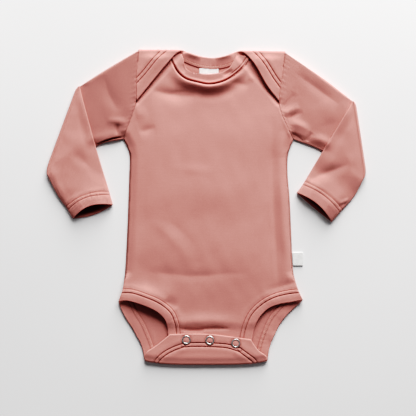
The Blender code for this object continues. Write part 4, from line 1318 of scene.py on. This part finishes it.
def inside_plan(rows):
    """Plan of the sections of a sleeve's inside, a wall's thickness in from its long edges."""
    wall = CLOTH + CUFF_STEP * (thickness(rows.to_seam) - CLOTH)
    inset = 0.85 * wall / rows.width
    first = rows.plan[:, :1]
    run = rows.plan[:, -1:] - first
    bend = rows.plan - (first + SHARES[None, :, None] * run)
    return first + (inset + (1 - 2 * inset) * SHARES)[..., None] * run + bend


def place_sleeve(rows, plan, level, height, shift):
    """Put one face of every section in its place, round the elbow's fold and over."""
    fade = (1 - ramp(rows.to_mouth, 0.0, CUFF_SHIFT_REACH)) * np.sin(math.pi * SHARES)
    plan = plan + np.where(rows.is_fore[:, None], shift * fade, 0.0)[..., None] * rows.axis
    rest = rows.on_fore(lambda points: fore_rest(points, rows.side))
    radius = ELBOW_AXIS - level
    turn = rows.turn[:, None]
    is_turn = rows.is_turn[:, None]
    out = np.where(is_turn, radius * np.sin(turn), 0.0) * rounded(rows.from_side, FOLD_END)
    z = np.where(is_turn, ELBOW_AXIS - radius * np.cos(turn), level)
    z = np.where(rows.is_fore[:, None], rest + height - level, z)
    return np.concatenate([plan + out[..., None] * rows.outward, z[..., None]], axis=2)


def round_tube(low, high):
    """Values on a tube's low face and then, the other way, on its high face."""
    return np.concatenate([low, high[:, -2:0:-1]], axis=1)


def tube_faces(count, ring):
    """Faces of a tube's outside and inside and of the two rims between them."""
    index = np.arange(count * ring).reshape(count, ring)
    here, there = index[:-1], index[1:]
    quads = np.stack([here, np.roll(here, -1, 1), np.roll(there, -1, 1), there], axis=2)
    outside = quads.reshape(-1, 4)
    rims = []
    for loop in (index[0], index[-1][::-1]):
        after = np.roll(loop, -1)
        rims.append(np.stack([loop, loop + count * ring, after + count * ring, after], axis=1))
    return np.vstack([outside, outside[:, ::-1] + count * ring, *rims])


def sleeve_painted_shade(rows):
    """Painted shade of a sleeve: on its needle lines and its slit outside, and over all its inside
    but the rim of the cuff's mouth.
    """
    lines = needle_lines(rows.to_seam, *CUFF_LINE_PAINTED_SHADE)
    painted_shade = np.where(rows.is_fore[:, None], lines, 0.0)
    if rows.side == "left":
        above, share = over_underarm(rows.upper.reshape(-1, 2))
        depth, half_width = UNDERARM_PAINTED_SHADE
        slit = depth * share * bell(above, half_width)
        painted_shade[rows.is_upper] = slit.reshape(-1, len(SHARES))
    # painted shade over the sleeve's inside, from just within the cuff's mouth
    shaded = np.where(rows.is_fore[:, None], ramp(rows.to_mouth, 1.0, 6.0), 1.0) * MOUTH_SHADE
    return np.concatenate([round_tube(painted_shade, painted_shade).ravel(), round_tube(shaded, shaded).ravel()])


def sleeve_uv(rows):
    """Place of each point of a sleeve on its flat cut."""
    steps = step_lengths(rows.plan[:, len(SHARES) // 2])
    steps[steps < 0.01] = ELBOW_AXIS * math.pi / (ELBOW_TURNS + 1)
    along = np.concatenate([[0.0], np.cumsum(steps)])[:, None]
    across = np.concatenate([SHARES, 2 - SHARES[-2:0:-1]])[None] * 100.0
    uv = np.stack(np.broadcast_arrays(across, along), axis=2).reshape(-1, 2)
    return np.vstack([uv, uv]) * MM


def add_sleeve(side, look):
    """One sleeve, with its outer low face and the distance of that to the cuff's seam."""
    rows = SleeveRows(side)
    mouth = MOUTHS[side]
    height, outer, inner = sleeve_levels(rows)
    inner_plan = inside_plan(rows)
    shifts = (-mouth.set_back, mouth.reach_out)
    outside = [place_sleeve(rows, rows.plan, outer[k], height, shifts[k]) for k in (0, 1)]
    within = [place_sleeve(rows, inner_plan, inner[k], height, shifts[k]) for k in (0, 1)]
    points = np.concatenate([round_tube(*faces).reshape(-1, 3) for faces in (outside, within)])
    count = len(rows.plan)
    ring = 2 * len(SHARES) - 2
    made = add_mesh(f"sleeve_{side}_cloth", points, tube_faces(count, ring), look,
                    uv=sleeve_uv(rows), painted_shade=sleeve_painted_shade(rows))
    # painted shade over the upper sleeve, easing off round the elbow onto the forearm
    turned = ramp(np.arange(count), len(rows.upper), len(rows.upper) + ELBOW_TURNS)
    light = SLEEVE_PAINTED_LIGHT[side][0] + turned * (SLEEVE_PAINTED_LIGHT[side][1] - SLEEVE_PAINTED_LIGHT[side][0])
    painted_sleeve_shade = made.data.attributes.new("painted_sleeve_shade", "FLOAT", "POINT")
    painted_sleeve_shade.data.foreach_set("value", np.tile(np.repeat(1 - light, ring), 2))
    return made, outside[0], rows.to_seam


# ------------------------------------------------------------------------------ stitches
def stitch_paths(line, form, lay, face):
    """A needle line of a cut piece, laid in place on one of its faces."""
    dense = evenly(line, NEEDLE_SPACING)
    low, high = form(dense, np.zeros(len(dense), dtype=bool))
    return lay(dense, high if face == "high" else low)


def length_in_space(path):
    """Length of each step of a path in space."""
    return np.sqrt(((path[1:] - path[:-1]) ** 2).sum(1))


def straight_stitches(path):
    """Pieces of a path, one for each stitch that shows."""
    along = np.concatenate([[0.0], np.cumsum(length_in_space(path))])
    pieces = []
    for start in np.arange(STITCH_PITCH / 2, along[-1] - STITCH_LENGTH, STITCH_PITCH):
        wanted = np.linspace(start, start + STITCH_LENGTH, 5)
        pieces.append(np.column_stack([np.interp(wanted, along, column) for column in path.T]))
    return pieces


def looped_stitches(first, second):
    """The zigzag of a cover seam's inside, between its two needle lines."""
    count = int(length_in_space(first).sum() / LOOP_PITCH)
    sides = []
    for path in (first, second):
        wanted = np.linspace(0, len(path) - 1, count)
        index = np.arange(len(path))
        sides.append(np.column_stack([np.interp(wanted, index, column) for column in path.T]))
    a, b = sides
    t = np.linspace(0, 1, 5)[:, None]
    bow = np.sin(math.pi * t) * np.array([0, 0, 0.35])
    pieces = []
    for k in range(count - 1):
        for start, end in ((a[k], b[k]), (b[k], a[k + 1])):
            pieces.append(start + t * (end - start) + bow)
    return pieces


def add_threads(name, pieces, look):
    """Many short rounded threads as one object."""
    points, faces = [], []
    sides = 6
    sizes = np.array([0.35, 0.95, 1.0, 0.95, 0.35]) * THREAD / 2
    turn = 2 * math.pi * np.arange(sides) / sides
    for piece in pieces:
        run = piece[-1] - piece[0]
        run = run / max(np.sqrt((run ** 2).sum()), 1e-6)
        up = np.array([0.0, 0.0, 1.0]) - run[2] * run
        up = up / max(np.sqrt((up ** 2).sum()), 1e-6)
        across = np.cross(run, up)
        base = len(points)
        for centre, size in zip(piece, sizes):
            for angle in turn:
                points.append(centre + size * (math.cos(angle) * across + math.sin(angle) * up))
        for ring in range(len(sizes) - 1):
            for k in range(sides):
                a = base + ring * sides + k
                b = base + ring * sides + (k + 1) % sides
                faces.append((a, b, b + sides, a + sides))
        faces.append(tuple(base + k for k in reversed(range(sides))))
        faces.append(tuple(base + (len(sizes) - 1) * sides + k for k in range(sides)))
    return add_mesh(name, np.array(points), faces, look)


# ----------------------------------------------------------------------------- materials
class Nodes:
    """Short hand for building a node tree."""

    def __init__(self, material):
        self.tree = material.node_tree

    def add(self, kind, inputs=None, **settings):
        """A node with its settings and its inputs, which may be values or sockets."""
        node = self.tree.nodes.new(kind)
        for key, value in settings.items():
            setattr(node, key, value)
        for key, value in (inputs or {}).items():
            if isinstance(value, bpy.types.NodeSocket):
                self.tree.links.new(value, node.inputs[key])
            else:
                node.inputs[key].default_value = value
        return node

    def math(self, operation, first, second=0.0, third=0.0):
        """The result of one sum."""
        terms = {0: first, 1: second, 2: third}
        return self.add("ShaderNodeMath", terms, operation=operation).outputs[0]

    def noise(self, where, scale, detail=3.0, roughness=0.5):
        """Grey noise at a scale in repeats a unit."""
        node = self.add("ShaderNodeTexNoise", {
            "Vector": where, "Scale": scale, "Detail": detail, "Roughness": roughness})
        return node.outputs[0]

    def blend(self, share, first, second):
        """A colour between two colours."""
        node = self.add("ShaderNodeMix", data_type="RGBA")
        node.clamp_factor = True
        for key, value in ((0, share), (6, first), (7, second)):
            if isinstance(value, bpy.types.NodeSocket):
                self.tree.links.new(value, node.inputs[key])
            else:
                node.inputs[key].default_value = value
        return node.outputs[2]

    def between(self, value, low, high, to_low=0.0, to_high=1.0):
        """A value mapped from one range to another."""
        ends = {0: value, 1: low, 2: high, 3: to_low, 4: to_high}
        return self.add("ShaderNodeMapRange", ends).outputs[0]

    def mottled(self, noise, low, high):
        """A colour that wanders between two colours as the noise does."""
        return self.blend(self.between(noise, 0.3, 0.7), low, high)

    def bump(self, shader, height, strength, distance):
        """Small relief on a shader."""
        node = self.add("ShaderNodeBump", {
            "Strength": strength, "Distance": distance, "Height": height})
        self.tree.links.new(node.outputs[0], shader.inputs["Normal"])


def new_material(name, roughness, metallic=0.0):
    """A Principled material, its shader and its node helper."""
    made = bpy.data.materials.new(name)
    made.use_nodes = True
    shader = made.node_tree.nodes["Principled BSDF"]
    shader.inputs["Roughness"].default_value = roughness
    shader.inputs["Metallic"].default_value = metallic
    return made, shader, Nodes(made)


def shade(colour, factor):
    """A colour made lighter or darker."""
    return tuple(min(1.0, part * factor) for part in colour) + (1.0,)


def knit_height(nodes, place, wale, course):
    """Height of plain knit stitches: little V shapes in upright columns, sizes in metres."""
    split = nodes.add("ShaderNodeSeparateXYZ", {0: place})
    u = nodes.math("DIVIDE", split.outputs[0], wale)
    v = nodes.math("DIVIDE", split.outputs[1], course)
    from_middle = nodes.math("SUBTRACT", nodes.math("FRACT", u), 0.5)
    leg = nodes.math("MULTIPLY", nodes.math("ABSOLUTE", from_middle), 2.0)
    slant = nodes.math("ADD", v, nodes.math("MULTIPLY", leg, 0.8))
    strand = nodes.math("SINE", nodes.math("MULTIPLY", slant, 2 * math.pi))
    column = nodes.math("SINE", nodes.math("MULTIPLY", leg, math.pi))
    return nodes.math("ADD", nodes.math("MULTIPLY", strand, 0.35), column)


def jersey(name, colour):
    """Soft cotton jersey: fine knit, a light sheen and a slightly uneven dye, with painted shade in
    its knit's hollows, along its seams and over the upper sleeves.
    """
    made, shader, nodes = new_material(name, 0.88)
    place = nodes.add("ShaderNodeUVMap", uv_map="cut").outputs[0]
    body = nodes.add("ShaderNodeTexCoord").outputs["Object"]
    cloudy = nodes.noise(body, 26.0, 3.0)
    heather = nodes.noise(body, 900.0, 2.0, 0.7)
    stretch = {0: place, 1: (45.0, 1100.0, 1.0)}
    stretched = nodes.add("ShaderNodeVectorMath", stretch, operation="MULTIPLY")
    courses = nodes.noise(stretched.outputs[0], 1.0, 2.0)
    fuzz = nodes.noise(body, 2600.0, 2.0, 0.7)
    knit = knit_height(nodes, place, 0.00085, 0.00075)
    tone = nodes.mottled(cloudy, shade(colour, 0.955), shade(colour, 1.04))
    specks = nodes.between(heather, 0.35, 0.65)
    speck = nodes.blend(specks, shade(colour, 0.90), shade(colour, 1.07))
    mixed = nodes.blend(0.45, tone, speck)
    bars = nodes.between(courses, 0.3, 0.7, 0.0, 0.10)
    barred = nodes.blend(bars, mixed, shade(colour, 0.62))
    # painted shade in the hollows of the knit
    knit_shaded = nodes.blend(nodes.between(knit, 0.0, 1.1, 0.16, 0.0), barred, shade(colour, 0.45))
    # painted shade: the upper sleeves darkened by the share kept on their points
    sleeve_shade_share = nodes.add("ShaderNodeAttribute", attribute_name="painted_sleeve_shade").outputs["Fac"]
    laid = nodes.blend(sleeve_shade_share, knit_shaded, (0.0, 0.0, 0.0, 1.0))
    # painted shade: the colour goes towards deep red by the share of painted shade kept on the
    # points
    painted_shade_share = nodes.add("ShaderNodeAttribute", attribute_name="painted_shade").outputs["Fac"]
    with_painted_shade = nodes.blend(nodes.math("MULTIPLY", painted_shade_share, 0.58), laid, (0.16, 0.046, 0.037, 1.0))
    nodes.tree.links.new(with_painted_shade, shader.inputs["Base Color"])
    height = nodes.math("ADD", nodes.math("MULTIPLY", knit, 0.6), nodes.math("MULTIPLY", fuzz, 0.9))
    height = nodes.math("ADD", height, nodes.math("MULTIPLY", heather, 0.7))
    nodes.bump(shader, height, 0.55, 0.00022)
    rough = nodes.between(heather, 0.3, 0.7, 0.82, 0.95)
    nodes.tree.links.new(rough, shader.inputs["Roughness"])
    shader.inputs["Sheen Weight"].default_value = 0.12
    shader.inputs["Sheen Roughness"].default_value = 0.5
    shader.inputs["Sheen Tint"].default_value = (1.0, 0.72, 0.66, 1.0)
    shader.inputs["Specular IOR Level"].default_value = 0.2
    return made


def thread_look(name, colour):
    """Twisted sewing thread."""
    made, shader, nodes = new_material(name, 0.6)
    body = nodes.add("ShaderNodeTexCoord").outputs["Object"]
    twist = nodes.noise(body, 3200.0, 2.0)
    tone = nodes.mottled(twist, shade(colour, 0.85), shade(colour, 1.12))
    nodes.tree.links.new(tone, shader.inputs["Base Color"])
    nodes.bump(shader, twist, 0.4, 0.0001)
    shader.inputs["Sheen Weight"].default_value = 0.2
    return made


def tape_look(name, colour):
    """Woven satin tape: fine crossing ribs, with painted shade between them."""
    made, shader, nodes = new_material(name, 0.5)
    body = nodes.add("ShaderNodeTexCoord").outputs["Object"]
    split = nodes.add("ShaderNodeSeparateXYZ", {0: body})
    pitch = 0.00042
    warp = nodes.math("SINE", nodes.math("MULTIPLY", split.outputs[0], 2 * math.pi / pitch))
    weft = nodes.math("SINE", nodes.math("MULTIPLY", split.outputs[1], 2 * math.pi / pitch))
    weave = nodes.math("MULTIPLY", warp, weft)
    cloudy = nodes.noise(body, 220.0, 2.0)
    tone = nodes.mottled(cloudy, shade(colour, 0.93), shade(colour, 1.0))
    # painted shade in the hollows between the tape's ribs
    rib_shaded = nodes.blend(nodes.between(weave, -1.0, 1.0, 0.10, 0.0), tone, shade(colour, 0.6))
    nodes.tree.links.new(rib_shaded, shader.inputs["Base Color"])
    nodes.bump(shader, weave, 0.4, 0.0001)
    return made


def metal_look(name):
    """Nickel plate with fine handling marks."""
    made, shader, nodes = new_material(name, 0.25, 1.0)
    body = nodes.add("ShaderNodeTexCoord").outputs["Object"]
    marks = nodes.noise(body, 900.0, 4.0)
    tone = nodes.mottled(marks, (0.60, 0.58, 0.56, 1.0), (0.86, 0.84, 0.82, 1.0))
    nodes.tree.links.new(tone, shader.inputs["Base Color"])
    nodes.tree.links.new(nodes.between(marks, 0.3, 0.7, 0.26, 0.42), shader.inputs["Roughness"])
    nodes.bump(shader, marks, 0.15, 0.0001)
    return made


def floor_look(name):
    """Plain pale backdrop."""
    made, shader, nodes = new_material(name, 0.95)
    body = nodes.add("ShaderNodeTexCoord").outputs["Object"]
    cloudy = nodes.noise(body, 3.0, 2.0)
    tone = nodes.mottled(cloudy, (0.82, 0.82, 0.825, 1.0), (0.85, 0.85, 0.855, 1.0))
    nodes.tree.links.new(tone, shader.inputs["Base Color"])
    shader.inputs["Specular IOR Level"].default_value = 0.1
    return made


# --------------------------------------------------------------------------- small parts
def squared(value):
    """A sine or cosine that makes a rounded square of a circle."""
    return math.copysign(abs(value) ** 0.8, value)


def add_snap(number, centre, level, look):
    """An open ring snap with a rounded crown and five dents where its teeth were pressed."""
    middle = (SNAP_OUTER + SNAP_INNER) / 4
    half = (SNAP_OUTER - SNAP_INNER) / 4
    facets, around = 72, 16
    x, y = bowed(np.array([centre]))[0]
    points = []
    for k in range(facets):
        turn = 2 * math.pi * k / facets
        dent = SNAP_DENT * max(0.0, math.cos(SNAP_TEETH * turn)) ** 8
        for j in range(around):
            angle = 2 * math.pi * j / around
            out = middle + half * squared(math.cos(angle))
            up = SNAP_HEIGHT * (0.5 + (0.5 - dent) * squared(math.sin(angle)))
            points.append((x + out * math.cos(turn), y + out * math.sin(turn), level + up))
    faces = []
    for k in range(facets):
        here, there = k * around, ((k + 1) % facets) * around
        for j in range(around):
            after = (j + 1) % around
            faces.append((here + j, there + j, there + after, here + after))
    return add_mesh(f"snap_{number}", np.array(points), faces, look)


def add_plate(name, corners, look, low, thick, curl=0.0):
    """A small soft plate of tape between four corners, with rounded edges."""
    corners = np.array(corners, dtype=float)
    steps = 28
    s = np.linspace(0, 1, steps)
    s = 0.5 * (s + (1 - np.cos(math.pi * s)) / 2)
    grid = np.array([[(1 - v) * ((1 - u) * corners[0] + u * corners[3])
                      + v * ((1 - u) * corners[1] + u * corners[2]) for u in s] for v in s])
    ends = np.minimum(s, 1 - s)
    across = np.hypot(*(corners[3] - corners[0])) * ends[None, :]
    down = np.hypot(*(corners[1] - corners[0])) * ends[:, None]
    round_off = rounded(np.minimum(across, down), TAPE_ROUND)
    lift = curl * s[:, None] ** 2 * np.sin(math.pi * s)[None, :]
    top = low + lift + thick / 2 * (1 + round_off)
    bottom = low + lift + thick / 2 * (1 - round_off)
    upper = np.concatenate([grid, top[..., None]], axis=2).reshape(-1, 3)
    lower = np.concatenate([grid, bottom[..., None]], axis=2).reshape(-1, 3)
    index = np.arange(steps * steps).reshape(steps, steps)
    quads = np.stack([index[:-1, :-1], index[1:, :-1], index[1:, 1:], index[:-1, 1:]], axis=2)
    quads = quads.reshape(-1, 4)
    border = np.concatenate([index[:-1, 0], index[-1, :-1], index[:0:-1, -1], index[0, :0:-1]])
    after = np.roll(border, -1)
    shift = steps * steps
    sides = np.stack([border, border + shift, after + shift, after], axis=1)
    faces = np.vstack([quads, quads[:, ::-1] + shift, sides])
    return add_mesh(name, np.vstack([upper, lower]), faces, look)


# ------------------------------------------------------------------------------ assembly
cloth_look = jersey("dusty_rose_jersey", (0.595, 0.270, 0.244))
# painted shade: the needle thread is coloured like the cloth in the shade of its groove
thread = thread_look("rose_thread_in_painted_shade", (0.36, 0.13, 0.105))
loop_thread = thread_look("rose_loop_thread", (0.62, 0.29, 0.25))
tape = tape_look("white_woven_tape", (0.86, 0.86, 0.85))
nickel = metal_look("nickel_snap")

front = add_front(cloth_look)
back = add_back(cloth_look)
sleeves = {}
cuff_faces = {}
for side in SIDES:
    sleeves[side], *cuff_faces[side] = add_sleeve(side, cloth_look)
labels = [
    add_plate("neck_label_tape", NECK_LABEL, tape, low=CLOTH + 0.25, thick=0.6, curl=0.5),
    add_plate("side_label_tape", SIDE_LABEL, tape, low=0.5, thick=0.9),
]
snaps = []
for number, centre in enumerate(SNAP_CENTRES, start=1):
    snaps.append(add_snap(number, centre, 2 * FOLD_AXIS - SNAP_SINK, nickel))


def front_lines():
    """Needle lines of the front: its leg hems, and its neck band."""
    pieces = []
    for name in ("front_left", "front_right", "front_neck"):
        for offset in (TWIN_HALF, -TWIN_HALF):
            line = HEMS[name].line(np.full(len(HEMS[name].seam), offset))
            if name == "front_neck":
                line = line[line[:, 0] > THREAD_START]
            pieces += straight_stitches(stitch_paths(line, form_front, lay_front, "high"))
    return pieces


def back_lines():
    """Threads of the back: needle lines on its turned parts, and loops on its inside."""
    pieces, loops = [], []
    for name in ("back_neck", "back_left", "back_right", "crotch"):
        hem = HEMS[name]
        count = len(hem.seam)
        lines = []
        for offset in (TWIN_HALF, -TWIN_HALF):
            line = evenly(hem.line(np.full(count, offset)), NEEDLE_SPACING)
            lines.append(line)
            over = turned_share(line) > 0.5
            changes = np.flatnonzero(np.diff(over.astype(int))) + 1
            for run in np.split(np.arange(len(line)), changes):
                if over[run[0]] and len(run) > SHORTEST_RUN:
                    path = stitch_paths(line[run], form_back, lay_back, "low")
                    pieces += straight_stitches(path)
        flat = [line[turned_share(line) < 0.05] for line in lines]
        if min(len(line) for line in flat) > SHORTEST_RUN:
            paths = [stitch_paths(line, form_back, lay_back, "high") for line in flat]
            loops += looped_stitches(*paths)
    return pieces, loops


def cuff_lines(side):
    """Needle lines across the face of a cuff that shows."""
    face, gaps = cuff_faces[side]
    pieces = []
    for offset in (TWIN_HALF, -TWIN_HALF):
        path = []
        for k in range(4, len(SHARES) - 4):
            rows = np.flatnonzero(gaps[:, k] > -20)
            places = face[rows, k]
            path.append([np.interp(offset, gaps[rows, k], column) for column in places.T])
        pieces += straight_stitches(np.array(path))
    return pieces


back_needle_lines, back_loops = back_lines()
threads = {
    "front": add_threads("front_stitching", front_lines(), thread),
    "back": add_threads("back_stitching", back_needle_lines, thread),
    "loops": add_threads("back_cover_loops", back_loops, loop_thread),
    "left": add_threads("sleeve_left_stitching", cuff_lines("left"), thread),
    "right": add_threads("sleeve_right_stitching", cuff_lines("right"), thread),
}

for piece in [front, back, *sleeves.values(), *labels, *snaps, *threads.values()]:
    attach(piece, "root")
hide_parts("front_panel", "front_neck_hem", "leg_hem_front_left", "leg_hem_front_right")
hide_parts("back_panel", "back_neck_hem", "leg_hem_back_left", "leg_hem_back_right", "crotch_hem")
for side in SIDES:
    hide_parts(f"sleeve_{side}", f"cuff_{side}")
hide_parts("neck_label")
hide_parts("side_label")
for number, snap in enumerate(snaps, start=1):
    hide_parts(f"snap_ring_{number}")

# --------------------------------------------------------------------- floor, light, camera
floor_mesh = bmesh.new()
bmesh.ops.create_grid(floor_mesh, x_segments=24, y_segments=24, size=3.0)
floor_data = bpy.data.meshes.new("floor")
floor_mesh.to_mesh(floor_data)
floor_mesh.free()
floor_data.materials.append(floor_look("pale_backdrop"))
floor = bpy.data.objects.new("floor", floor_data)
floor.location.z = -0.0002
bpy.context.scene.collection.objects.link(floor)


def add_light(name, place, aim, size, power, colour):
    """A soft square light that looks at a point."""
    lamp = bpy.data.lights.new(name, "AREA")
    lamp.size = size
    lamp.energy = power
    lamp.color = colour
    made = bpy.data.objects.new(name, lamp)
    made.location = place
    made.rotation_euler = (Vector(aim) - Vector(place)).to_track_quat("-Z", "Y").to_euler()
    bpy.context.scene.collection.objects.link(made)
    return made


scene = bpy.context.scene
add_light("window", (0.52, 2.48, 1.22), (0.0, 0.0, 0.0), 2.2, 184.0, (1.0, 0.99, 0.98))
world = bpy.data.worlds.new("studio")
world.use_nodes = True
background = world.node_tree.nodes["Background"]
background.inputs["Color"].default_value = (0.97, 0.98, 1.0, 1.0)
background.inputs["Strength"].default_value = 0.14
scene.world = world

# Tone curve of a print, from scene brightness to display brightness: deep shadows and soft
# highlights.
PRINT_TONES = [
    (0.05, 0.014),
    (0.14, 0.125),
    (0.27, 0.332),
    (0.42, 0.515),
    (0.60, 0.645),
    (0.85, 0.82),
]
PRINT_WHITE = (1.0, 0.92)
scene.view_settings.view_transform = "Standard"
scene.view_settings.use_curve_mapping = True
tones = scene.view_settings.curve_mapping
tones.curves[3].points[1].location = PRINT_WHITE
for place in PRINT_TONES:
    tones.curves[3].points.new(*place)
tones.update()

VIEW_WIDTH = 0.4992        # width of the picture at the plane of the garment, in metres
CAMERA_HEIGHT = 1.2
lens = bpy.data.cameras.new("camera")
lens.sensor_width = 36.0
lens.lens = 36.0 * CAMERA_HEIGHT / VIEW_WIDTH
camera = bpy.data.objects.new("camera", lens)
camera.location = (0.00265, -0.0009, CAMERA_HEIGHT)
scene.collection.objects.link(camera)
scene.camera = camera
